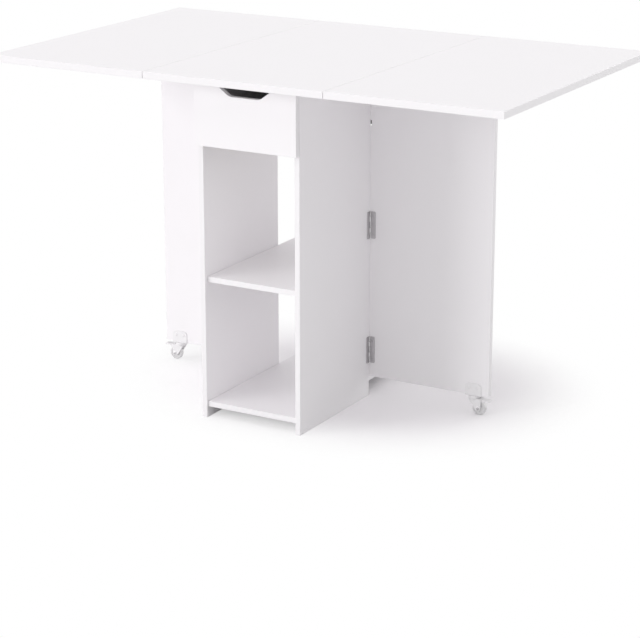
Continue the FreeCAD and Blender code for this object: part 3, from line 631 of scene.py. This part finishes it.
def hinge_half(face, knuckles):
    """A plate with rolled knuckles and countersunk holes, its back at face. The knuckles are
    marked for a painted highlight and a smoother, rubbed surface.
    """
    half = HINGE_LENGTH / 2
    plate = bmesh.new()
    verts = block(plate, (NOTCH, face, -half), (HINGE_WIDTH, face + PLATE, half))
    outer = [edge for edge in edges_of(verts)
             if along(edge, 1) and edge.verts[0].co.x > 0.9 * HINGE_WIDTH * MM]
    round_off(plate, outer, PLATE_CORNER, 6)
    round_off(plate, sharp_edges(plate, 60), PLATE_EDGE, 2)
    holes = bmesh.new()
    for z in (-SCREW_Z, SCREW_Z):
        bar(holes, "y", (SCREW_X, 0, z), HOLE_NARROW - HOLE_SPARE, face - HOLE_SPARE,
            face + PLATE + HOLE_SPARE, 32, HOLE_WIDE + HOLE_SPARE)
    plate = cut(plate, holes)
    # The knuckles get a number kept with the mesh, which the steel finish turns into a painted
    # highlight and a smoother, rubbed surface.
    rubbed = plate.verts.layers.float.new("rubbed_and_painted_highlight")
    for index in knuckles:
        low = -half + index * (KNUCKLE + KNUCKLE_GAP)
        high = low + KNUCKLE
        block(plate, (WEB_START, face, low), (WEB_END, face + PLATE, high))
        roll = spun([(BORE, low), (BARREL - ROLL_END, low), (BARREL, low + ROLL_END),
                     (BARREL, high - ROLL_END), (BARREL - ROLL_END, high), (BORE, high)], "z")
        before = len(plate.verts)
        add_to(plate, roll)
        plate.verts.ensure_lookup_table()
        for vert in plate.verts[before:]:
            vert[rubbed] = 1.0
    return plate


FIXED, MOVING = (0, 2, 4), (1, 3)
demo = hinge_half(0.0, FIXED)
print("faces in one hinge half:", len(demo.faces))
demo.free()

# %% [markdown]
# ## Screws and pins
#
# The screws have a countersunk head that stands slightly proud as a low dome, with a cross
# recess for the driver. A turned shape like this is drawn as half an outline and spun about
# its axis, and the recess is cut out with two crossing wedges. The pins are plain bars with
# rounded ends.

# %% One cross recess screw and one pin
HEAD, SHANK, SCREW_LENGTH = 2.9, 1.45, 9.9
PIN_RADIUS, PIN_END = 1.25, 0.5
RECESS_TAPER = (0.35, 0.7, 1)


def cross_recess(top, depth, length, width, way="y"):
    """Two crossing wedges that cut a driver's recess into a screw head."""
    tool = bmesh.new()
    for turn in (0, QUARTER_TURN):
        verts = block(tool, (-length / 2, -width / 2, top - depth),
                      (length / 2, width / 2, top + 1))
        deep = [vert for vert in verts if vert.co.z < top * MM - depth * MM / 2]
        bmesh.ops.scale(tool, vec=RECESS_TAPER, verts=deep)
        bmesh.ops.rotate(tool, cent=(0, 0, 0), matrix=Matrix.Rotation(turn, 3, "Z"), verts=verts)
    bmesh.ops.transform(tool, matrix=WAY_UP[way], verts=tool.verts)
    return tool


def hinge_screw(face):
    """A countersunk screw along y, its head in a plate that lies on the face."""
    top = face + PLATE
    outline = [(0, top + 0.32), (1.2, top + 0.26), (2.3, top + 0.1), (HEAD, top - 0.12),
               (HEAD, top - 0.25), (SHANK, face + 0.05), (SHANK, face - SCREW_LENGTH + 2.5),
               (0, face - SCREW_LENGTH)]
    screw = spun(outline)
    return cut(screw, cross_recess(top + 0.3, 1.3, 3.0, 0.75))


def hinge_pin():
    """A plain pin along z with rounded ends."""
    pin = bmesh.new()
    verts = bar(pin, "z", (0, 0, 0), PIN_RADIUS, -HINGE_LENGTH / 2, HINGE_LENGTH / 2, 24)
    round_off(pin, rims_of(verts, 2), PIN_END, 3)
    return pin


print("faces in one screw:", len(hinge_screw(0.0).faces))

# %% Put the hinges, screws and pins in their places
def dress_hinges(kind, side, face, ways):
    """Replaces the plates, screws and pins of three hinges; ways say how each half lies."""
    pins = [middle(pair) for pair in lumps(f"{side}_{kind}_hinge_pins")]
    for piece, (x_way, y_way, knuckles) in ways.items():
        places = [placed(x_way, y_way, pin) for pin in pins]
        hand_over_copies(f"{side}_{kind}_plates_{piece}", hinge_half(face, knuckles), places,
                         f"{side}_{kind}_hinge_{piece}")
        spots = [place @ Matrix.Translation((SCREW_X * MM, 0, z * MM))
                 for place in places for z in (-SCREW_Z, SCREW_Z)]
        hand_over_copies(f"{side}_{kind}_cross_screws_{piece}", hinge_screw(face), spots,
                         f"{side}_{kind}_screws_{piece}")
    x_way, y_way, _ = ways["moving"]
    hand_over_copies(f"{side}_{kind}_round_pins", hinge_pin(),
                     [placed(x_way, y_way, at) for at in pins], f"{side}_{kind}_hinge_pins")


SEAM_FACE = -2.8
for side, sign in (("left", -1), ("right", 1)):
    dress_hinges("leaf", side, SEAM_FACE, {
        "fixed": ((-sign, 0, 0), (0, 0, -1), FIXED),
        "moving": ((sign, 0, 0), (0, 0, -1), MOVING)})
    dress_hinges("gate", side, 0.0, {
        "fixed": ((0, -1, 0), (sign, 0, 0), FIXED),
        "moving": ((sign, 0, 0), (0, -1, 0), MOVING)})
print("hinge pieces:", len(made))

# %% [markdown]
# ## Casters
#
# Each gate rolls on one small swivel caster with a brake. From the top down it is a white
# channel that straddles the gate's lower edge, two bolts through both under push-on caps, a
# round raceway, and a fork that turns on a rivet. The fork's two cheeks hold the wheel on
# its axle and the brake pedal on its trunnions. Small plastic parts have soft edges and
# ribs that save plastic, and that is what tells them from plain blocks, so every edge is
# rounded here. The pieces are modelled about the swivel, with x outwards, and set down twice.

# %% Bracket, bolts and rivet
GATE_BOTTOM, GATE_HALF, BRACKET_WALL = 44.0, 6.0, 2.0
BRACKET_HALF, BRACKET_TOP = GATE_HALF + BRACKET_WALL, 70.0
BRACKET_REACH, BRACKET_CORNER, BRACKET_FOLD, BRACKET_EDGE = 19.0, 9.0, 1.6, 0.4
RACE_RADIUS, RACE_LOW, RACE_EDGE = 13.0, 37.0, 0.7
BOLT_X, BOLT_Z, BOLT_RADIUS = 10.0, 60.0, 2.0
TRAIL, WHEEL_Z = 13.0, 15.0
PIVOT_X, PIVOT_Z = 15.3, 33.8


def bracket():
    """A channel folded round the gate's edge, with round corners and the raceway below."""
    channel = bmesh.new()
    verts = block(channel, (-BRACKET_REACH, -BRACKET_HALF, GATE_BOTTOM - BRACKET_WALL),
                  (BRACKET_REACH, BRACKET_HALF, BRACKET_TOP))
    top = [edge for edge in edges_of(verts)
           if along(edge, 1) and edge.verts[0].co.z > 0.9 * BRACKET_TOP * MM]
    fold = [edge for edge in edges_of(verts)
            if along(edge, 0) and edge.verts[0].co.z < GATE_BOTTOM * MM]
    round_off(channel, top, BRACKET_CORNER, 8)
    round_off(channel, fold, BRACKET_FOLD, 4)
    round_off(channel, sharp_edges(channel, 60), BRACKET_EDGE, 2)
    slot = bmesh.new()
    block(slot, (-BRACKET_REACH - 1, -GATE_HALF, GATE_BOTTOM),
          (BRACKET_REACH + 1, GATE_HALF, BRACKET_TOP + 1))
    channel = cut(channel, slot)
    race = bar(channel, "z", (0, 0, 0), RACE_RADIUS, RACE_LOW,
               GATE_BOTTOM - BRACKET_WALL + BRACKET_EDGE, 48)
    round_off(channel, rims_of(race, 2), RACE_EDGE, 3)
    return channel


def bracket_caps():
    """The two bolts through the gate, each end under a domed cap."""
    sheet = bmesh.new()
    dome = [(0, 1.55), (1.6, 1.4), (2.9, 0.95), (3.6, 0.3), (3.8, -0.05), (0, -0.05)]
    cap = spun(dome, "z", 32)
    places = []
    for x in (-BOLT_X, BOLT_X):
        bar(sheet, "y", (x, 0, BOLT_Z), BOLT_RADIUS, -BRACKET_HALF, BRACKET_HALF, 16)
        for side in (1, -1):
            end = Vector((x, side * BRACKET_HALF, BOLT_Z)) * MM
            places.append(placed((1, 0, 0), (0, 0, -side), end))
    add_to(sheet, stamp(cap, places))
    cap.free()
    return sheet


def swivel_rivet():
    """The rivet that the fork turns on, its domed head under the fork's roof."""
    return spun([(0, 33.4), (3.4, 33.5), (4.8, 33.9), (5.0, 34.3), (4.8, 34.4), (3.0, 34.4),
                 (3.0, GATE_BOTTOM - 0.4), (2.6, GATE_BOTTOM), (0, GATE_BOTTOM)], "z")


print("bracket faces:", len(bracket().faces))

# %% Fork and axle
FORK_HALF, FORK_WALL = 9.0, 1.8
FORK_TOP, FORK_ROOF, TRUNNION, TRUNNION_PLAY = 36.7, 34.7, 1.3, 0.2
FOOT_ROUND, SHOULDER_ROUND, CHEEK_EDGE = 4.6, 1.4, 0.4
BOSS_RADIUS, BOSS_INNER, BOSS_OUTER = 5.2, 8.8, 9.4
ROOF_BORE, ROOF_RADIUS, ROOF_EDGE = 3.05, 12.4, 0.6


def fork():
    """Two cheeks with round feet and bosses under a round roof, every edge softened."""
    outline = [(-8, 0, FORK_ROOF), (-8, 0, 32.7), (TRAIL - 5, 0, 10), (TRAIL + 5, 0, 10),
               (19.4, 0, 30), (19.4, 0, FORK_TOP), (6, 0, FORK_TOP), (6, 0, FORK_ROOF)]
    whole = bmesh.new()
    for low in (-FORK_HALF, FORK_HALF - FORK_WALL):
        cheek = bmesh.new()
        verts = slab(cheek, [(x, low, z) for x, _, z in outline], FORK_WALL)
        feet = [edge for edge in edges_of(verts)
                if along(edge, 1) and edge.verts[0].co.z < 10.5 * MM]
        bmesh.ops.recalc_face_normals(cheek, faces=cheek.faces)
        round_off(cheek, feet, FOOT_ROUND, 8)
        shoulder = [edge for edge in cheek.edges
                    if along(edge, 1) and 20 * MM < edge.verts[0].co.z < 33 * MM]
        round_off(cheek, shoulder, SHOULDER_ROUND, 5)
        round_off(cheek, sharp_edges(cheek, 50), CHEEK_EDGE, 2)
        pivot_hole = bmesh.new()
        bar(pivot_hole, "y", (PIVOT_X, 0, PIVOT_Z), TRUNNION + TRUNNION_PLAY, low - 1,
            low + FORK_WALL + 1, 24)
        cheek = cut(cheek, pivot_hole)
        side = math.copysign(1, low)
        inner, outer = sorted((side * BOSS_INNER, side * BOSS_OUTER))
        boss = bar(cheek, "y", (TRAIL, 0, WHEEL_Z), BOSS_RADIUS, inner, outer, 32,
                   BOSS_RADIUS - 0.4 if side > 0 else BOSS_RADIUS)
        round_off(cheek, rims_of(boss, 1), 0.2, 2)
        add_to(whole, cheek)
    roof = spun([(ROOF_BORE, FORK_ROOF), (ROOF_RADIUS - ROOF_EDGE, FORK_ROOF),
                 (ROOF_RADIUS, FORK_ROOF + ROOF_EDGE), (ROOF_RADIUS, FORK_TOP - ROOF_EDGE),
                 (ROOF_RADIUS - ROOF_EDGE, FORK_TOP), (ROOF_BORE, FORK_TOP)], "z", 64)
    add_to(whole, roof)
    return whole


def axle():
    """A riveted axle with a domed head at each end."""
    end, head = FORK_HALF, 3.5
    right = [(2.0, end - 0.1), (head, end + 0.35), (head, end + 0.6), (2.6, end + 0.9),
             (0, end + 1.0)]
    left = [(r, -y) for r, y in reversed(right)]
    rod = spun(left + right, "y", 32)
    bmesh.ops.translate(rod, vec=(TRAIL * MM, 0, WHEEL_Z * MM), verts=rod.verts)
    return rod


print("fork faces:", len(fork().faces))

# %% Wheel
WHEEL_RADIUS, WHEEL_HALF, HUB_RADIUS, RIM_RADIUS = 15.0, 6.5, 5.5, 11.4
SPOKES, SPOKE_HALF = 6, 0.6


def wheel():
    """A nylon wheel: a crowned tread, a dished web, six ribs a side and a raised hub."""
    web, face = WHEEL_HALF - 1.8, WHEEL_HALF - 1.0
    half = [(2.05, WHEEL_HALF), (HUB_RADIUS - 0.4, WHEEL_HALF), (HUB_RADIUS, WHEEL_HALF - 0.4),
            (HUB_RADIUS + 0.4, web), (RIM_RADIUS - 0.3, web), (RIM_RADIUS, web + 0.3),
            (RIM_RADIUS, face - 0.2), (RIM_RADIUS + 0.3, face), (13.0, face), (14.0, face - 0.3),
            (14.7, face - 0.9), (WHEEL_RADIUS, face - 1.9)]
    rolled = spun(half + [(r, -y) for r, y in reversed(half)], "y", 72)
    for side in (-1, 1):
        for index in range(SPOKES):
            inner, outer = sorted((side * (web - 0.3), side * (face - 0.1)))
            rib = block(rolled, (HUB_RADIUS, inner, -SPOKE_HALF),
                        (RIM_RADIUS + 0.3, outer, SPOKE_HALF))
            turn = Matrix.Rotation(index * math.tau / SPOKES, 3, "Y")
            bmesh.ops.rotate(rolled, cent=(0, 0, 0), matrix=turn, verts=rib)
    bmesh.ops.translate(rolled, vec=(TRAIL * MM, 0, WHEEL_Z * MM), verts=rolled.verts)
    return rolled


print("wheel faces:", len(wheel().faces))

# %% Brake pedal
PEDAL_HALF, PEDAL_TIP, TIP_HALF = 6.7, 40.0, 8.0
TREAD_LOW, TREAD_HIGH, TREAD_START = 32.6, 35.2, 24.4
ARM_EDGE, TREAD_CORNER, TREAD_EDGE = 0.35, 3.0, 0.5
GRIP_RIBS, FIRST_RIB, RIB_STEP, RIB_HALF, RIB_REACH = 5, 27.5, 2.4, 0.5, 5.6


def pedal():
    """A lever that turns on trunnions, with a curved shoe and a ribbed tread."""
    arm = bmesh.new()
    slab(arm, [(x, -PEDAL_HALF, z) for x, z in (
        (PIVOT_X - 1.6, PIVOT_Z + 1.6), (PIVOT_X - 1.6, 31.5), (PIVOT_X, 24.0), (22.7, 26.0),
        (25.3, 31.2), (33.0, TREAD_LOW), (33.0, TREAD_HIGH), (22.7, 35.6),
        (PIVOT_X, PIVOT_Z + 2.3))], 2 * PEDAL_HALF)
    bmesh.ops.recalc_face_normals(arm, faces=arm.faces)
    wheel_room = bmesh.new()
    bar(wheel_room, "y", (TRAIL, 0, WHEEL_Z), WHEEL_RADIUS + 1.5, -20, 20, 64)
    arm = cut(arm, wheel_room)
    round_off(arm, sharp_edges(arm, 40), ARM_EDGE, 2)
    bar(arm, "y", (PIVOT_X, 0, PIVOT_Z), 2.4, -PEDAL_HALF, PEDAL_HALF, 32)
    bar(arm, "y", (PIVOT_X, 0, PIVOT_Z), TRUNNION, -FORK_HALF, FORK_HALF, 24)
    tread = block(arm, (TREAD_START, -TIP_HALF, TREAD_LOW), (PEDAL_TIP, TIP_HALF, TREAD_HIGH))
    corners = [edge for edge in edges_of(tread)
               if along(edge, 2) and edge.verts[0].co.x > 0.9 * PEDAL_TIP * MM]
    round_off(arm, corners, TREAD_CORNER, 6)
    beyond = (TREAD_START - 0.1) * MM
    rims = {edge for vert in arm.verts if vert.co.x > beyond for edge in vert.link_edges
            if len(edge.link_faces) == 2 and edge.calc_face_angle(0) > 0.9
            and edge.other_vert(vert).co.x > beyond}
    round_off(arm, rims, TREAD_EDGE, 3)
    for index in range(GRIP_RIBS):
        x = FIRST_RIB + index * RIB_STEP
        rib = block(arm, (x - RIB_HALF, -RIB_REACH, TREAD_HIGH - 0.2),
                    (x + RIB_HALF, RIB_REACH, TREAD_HIGH + 0.45))
        round_off(arm, [edge for edge in edges_of(rib) if edge.verts[0].co.z > TREAD_HIGH * MM
                        and edge.verts[1].co.z > TREAD_HIGH * MM], 0.3, 2)
    return arm


print("pedal faces:", len(pedal().faces))

# %% Set both casters down
CASTER_PIECES = {
    "caster_bracket": bracket, "bracket_bolts": bracket_caps, "kingpin": swivel_rivet,
    "caster_fork": fork, "wheel_axle": axle, "wheel": wheel, "brake_pedal": pedal,
}
for side, sign in (("left", -1), ("right", 1)):
    low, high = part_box(f"{side}_kingpin")
    swivel = Vector(((low[0] + high[0]) / 2, (low[1] + high[1]) / 2, 0))
    for piece, build in CASTER_PIECES.items():
        sheet = build()
        bmesh.ops.transform(sheet, matrix=placed((sign, 0, 0), (0, sign, 0), swivel),
                            verts=sheet.verts)
        hand_over(f"{side}_{piece}_moulded", sheet, f"{side}_{piece}")
print("pieces so far:", len(made))

# %% [markdown]
# ## Cams, bolts and dowels
#
# The boards are drawn together by cam locks: a die-cast disc in a round pocket, turned with
# a screwdriver, pulls the head of a steel bolt that is screwed into the next board. Beech
# dowels beside them keep the boards in line. The cams' faces show from below. Each fitting
# is turned or cut once at the origin, with its outer end up, and stamped where its solid is.

# %% One cam, one bolt, one dowel
CAM_RADIUS, CAM_HEIGHT, CAM_BORE = 7.4, 9.4, 3.1
BOLT_DEPTH, THREAD_LENGTH, THREAD_PITCH, THREAD_CORE, THREAD_TOP = 6.0, 9.0, 1.3, 2.2, 2.9
DOWEL_RADIUS, DOWEL_SIDES, DOWEL_END, FLUTE = 3.0, 32, 0.9, 0.93


def cam_lock():
    """A disc with its face at z 0, a driver's cross in it, and the bolt's way in along x."""
    disc = spun([(0, 0), (CAM_RADIUS - 0.5, 0), (CAM_RADIUS, -0.5), (CAM_RADIUS, 0.4 - CAM_HEIGHT),
                 (CAM_RADIUS - 0.4, -CAM_HEIGHT), (0, -CAM_HEIGHT)], "z", 48)
    disc = cut(disc, cross_recess(0, 2.2, 8.0, 1.6, "z"))
    way_in = bmesh.new()
    bar(way_in, "x", (0, 0, -BOLT_DEPTH), CAM_BORE, 0, CAM_RADIUS + 1, 32)
    return cut(disc, way_in)


def cam_bolt(length):
    """A steel bolt from its head at z 0 to its thread's tip: head, neck, collar and thread."""
    outline = [(0, 0), (2.2, 0.1), (2.7, 0.7), (2.7, 2.2), (1.6, 3.4), (1.6, 8.0), (2.3, 8.6)]
    thread = length - THREAD_LENGTH
    outline += [(2.3, thread - 1.0), (THREAD_TOP, thread - 0.6), (THREAD_TOP, thread)]
    while thread < length - THREAD_PITCH:
        outline += [(THREAD_CORE, thread + THREAD_PITCH / 4),
                    (THREAD_TOP, thread + THREAD_PITCH * 0.6),
                    (THREAD_TOP, thread + THREAD_PITCH * 0.7)]
        thread += THREAD_PITCH
    return spun(outline + [(0, length)], "z", 24)


def dowel(length):
    """A fluted beech pin: a bar whose every second edge is drawn in, with chamfered ends."""
    pin, half = bmesh.new(), length / 2
    verts = bar(pin, "z", (0, 0, 0), DOWEL_RADIUS, -half, half, DOWEL_SIDES)
    round_off(pin, rims_of(verts, 2), DOWEL_END, 1)
    for vert in pin.verts:
        around = math.atan2(vert.co.y, vert.co.x) / math.tau * DOWEL_SIDES
        if round(around) % 2:
            vert.co.x, vert.co.y = vert.co.x * FLUTE, vert.co.y * FLUTE
    return pin


def long_way(pair):
    """The axis that a lump is longest along."""
    extent = pair[1] - pair[0]
    return max(range(3), key=lambda axis: extent[axis])


def standing(out_way, side_way, place):
    """Sets a piece down with its z along out_way and its x along side_way."""
    out_way, side_way = Vector(out_way), Vector(side_way)
    return placed(side_way, out_way.cross(side_way), place)


UP, RIGHT = Vector((0, 0, 1)), Vector((1, 0, 0))
cam_places = []
for low, high in lumps("cam_locks"):
    outwards = Vector((math.copysign(1, low.x), 0, 0))
    extent, centre = high - low, middle((low, high))
    thin = min(range(3), key=lambda axis: extent[axis])
    face_way = (-outwards, Vector((0, -1, 0)), -UP)[thin]
    bolt_way = UP if thin == 0 else outwards
    cam_places.append(standing(face_way, bolt_way, centre + face_way * extent[thin] / 2))
hand_over_copies("cam_discs", cam_lock(), cam_places, "cam_locks")
print("cams:", len(cam_places))

# %% Put the bolts and dowels in
bolts, dowels = bmesh.new(), bmesh.new()
for low, high in lumps("cam_bolts"):
    outwards = Vector((math.copysign(1, low.x), 0, 0))
    centre, way = middle((low, high)), long_way((low, high))
    bolt_way, side_way = (outwards, UP) if way == 0 else (UP, outwards)
    length = (high - low)[way]
    rod = cam_bolt(length / MM)
    bmesh.ops.transform(rod, matrix=standing(bolt_way, side_way, centre - bolt_way * length / 2),
                        verts=rod.verts)
    add_to(bolts, rod)
for low, high in lumps("wood_dowels"):
    way = long_way((low, high))
    pin = dowel((high - low)[way] / MM)
    pin_way, side_way = (RIGHT, UP) if way == 0 else (UP, RIGHT)
    bmesh.ops.transform(pin, matrix=standing(pin_way, side_way, middle((low, high))),
                        verts=pin.verts)
    add_to(dowels, pin)
hand_over("cam_bolts_turned", bolts, "cam_bolts")
hand_over("fluted_dowels", dowels, "wood_dowels")
print("pieces so far:", len(made))

# %% [markdown]
# ## Runners, stops and bumpers
#
# Two dark moulded strips carry the drawer, each on three screws with a cross recess. Two
# small lugs under the top catch the drawer's back, and four soft dots on the cabinet's front
# edges keep the front from knocking. Moulded strips get a small round on every outer edge,
# and a dot is a low dome spun from half its outline.

# %% Fit them
RUNNER_SCREW, RUNNER_HEAD, RUNNER_SHANK = 20.4, 2.9, 1.5
STOP_ROUND = 1.2


def runner_screw():
    """A countersunk screw with the top of its head at z 0 and its tip below."""
    screw = spun([(0, 0), (1.6, -0.05), (RUNNER_HEAD, -0.4), (RUNNER_HEAD, -0.6),
                  (RUNNER_SHANK, -2.0), (RUNNER_SHANK, 2.5 - RUNNER_SCREW), (0, -RUNNER_SCREW)],
                 "z", 24)
    return cut(screw, cross_recess(0, 1.2, 3.4, 0.75, "z"))


for side in ("left", "right"):
    print(side, "runner edges rounded:", ease(f"{side}_drawer_runner"))
stops = welded("drawer_stops")
round_off(stops, sharp_edges(stops, 60), STOP_ROUND, 4)
hand_over("rounded_stops", stops, "drawer_stops")
places = []
for low, high in lumps("runner_screws"):
    inwards = Vector((-math.copysign(1, low.x), 0, 0))
    head = middle((low, high)) + inwards * (high.x - low.x) / 2
    places.append(standing(inwards, UP, head))
hand_over_copies("runner_cross_screws", runner_screw(), places, "runner_screws")
dot = spun([(0, 1.5), (1.8, 1.42), (3.0, 1.15), (3.7, 0.6), (4.0, 0), (0, 0)], "z", 32)
dots = [standing((0, -1, 0), UP, ((low.x + high.x) / 2, high.y, (low.z + high.z) / 2))
        for low, high in lumps("drawer_bumpers")]
hand_over_copies("domed_dots", dot, dots, "drawer_bumpers")
print("pieces so far:", len(made))

# %% [markdown]
# ## Floor, light and camera
#
# The table stands on a plain pale floor under soft studio light. One lamp hangs overhead, one
# models the boards from the front left, and a low one behind lights the inner faces. An even
# white surrounding fills the rest. The Light Path node picks out what the camera sees for
# itself: there the surrounding is plain white, and the shade on the floor fades to white away
# from the table, measured in the floor's own coordinates.

# %% The floor
FLOOR_REACH = 30.0
PALE, PAPER_WHITE = (0.88, 0.88, 0.88), (1.0, 0.98, 1.0)
PLAIN_WHITE = (1.0, 1.0, 1.0, 1.0)
SHADE_MIDDLE, SHADE_REACH = (0.06, 0.08, 0.0), (0.08, 0.0, 0.0)
FADE_START, FADE_END = 0.20, 0.48
floor_sheet = bmesh.new()
bmesh.ops.create_grid(floor_sheet, x_segments=1, y_segments=1, size=FLOOR_REACH)
floor = loose_object("floor", floor_sheet)
floor_paint, tree, shader = start_finish("pale floor", PALE, 0.9)
shader.inputs["Specular IOR Level"].default_value = 0.0
ray = add_node(tree, "ShaderNodeLightPath").outputs
tree.links.new(mix_in(tree, ray["Is Camera Ray"], PALE, PAPER_WHITE),
               shader.inputs["Base Color"])
away = add_node(tree, "ShaderNodeTexCoord").outputs["Object"]
away = work_out_vector(tree, "SUBTRACT", away, SHADE_MIDDLE)
away = work_out_vector(tree, "ABSOLUTE", away)
away = work_out_vector(tree, "SUBTRACT", away, SHADE_REACH)
away = work_out_vector(tree, "MAXIMUM", away, (0.0, 0.0, 0.0))
distance = work_out_vector(tree, "LENGTH", away, output="Value")
fade = add_node(tree, "ShaderNodeMapRange", {"interpolation_type": "SMOOTHSTEP"},
                Value=distance, From_Min=FADE_START, From_Max=FADE_END)
faded = work_out(tree, "MULTIPLY", ray["Is Camera Ray"], fade.outputs["Result"])
white = add_node(tree, "ShaderNodeEmission", Color=PLAIN_WHITE, Strength=1.0)
mix_shaders(tree, faded, shader.outputs[0], white.outputs[0], "Material Output")
floor.data.materials.append(floor_paint)
print("floor:", floor_paint.name)

# %% The surrounding light and the lamps
SURROUNDING = 0.66
LAMPS = [("overhead softbox", (-0.1, -0.2, 1.0), 0.64, 60),
         ("front left softbox", (-0.7, -0.7, 0.18), 1.31, 30),
         ("low rear softbox", (0.35, 1.0, 0.12), 0.83, 40)]
world = bpy.data.worlds.new("studio")
bpy.context.scene.world = world
world.use_nodes = True
tree = world.node_tree
lamp = tree.nodes["Background"]
lamp.inputs["Strength"].default_value = SURROUNDING
lamp.inputs["Color"].default_value = PLAIN_WHITE
backdrop = add_node(tree, "ShaderNodeBackground", Color=PLAIN_WHITE, Strength=1.0)
ray = add_node(tree, "ShaderNodeLightPath").outputs
shown = ray["Is Camera Ray"]
for kind in ("Is Glossy Ray", "Is Transmission Ray"):
    shown = work_out(tree, "MAXIMUM", shown, ray[kind])
mix_shaders(tree, shown, lamp.outputs[0], backdrop.outputs[0], "World Output")


def add_sun(name, comes_from, strength, softness):
    """A distant soft lamp; softness is how many degrees of the sky it fills."""
    data = bpy.data.lights.new(name, "SUN")
    data.energy = strength
    data.angle = math.radians(softness)
    sun = bpy.data.objects.new(name, data)
    sun.rotation_euler = Vector(comes_from).to_track_quat("Z", "Y").to_euler()
    bpy.context.scene.collection.objects.link(sun)


for values in LAMPS:
    add_sun(*values)

# %% The camera
SENSOR_WIDTH, LENS = 36.0, 120.67
TILT_DOWN, TURN = math.radians(17.244), math.radians(29.709)
camera_data = bpy.data.cameras.new("camera")
camera_data.sensor_width = SENSOR_WIDTH
camera_data.lens = LENS
camera = bpy.data.objects.new("camera", camera_data)
camera.location = (2.2441, -3.9376, 1.5632)
camera.rotation_euler = (QUARTER_TURN - TILT_DOWN, 0.0, TURN)
bpy.context.scene.collection.objects.link(camera)
bpy.context.scene.camera = camera
bpy.context.scene.view_settings.view_transform = "Standard"
print("camera at", tuple(camera.location))
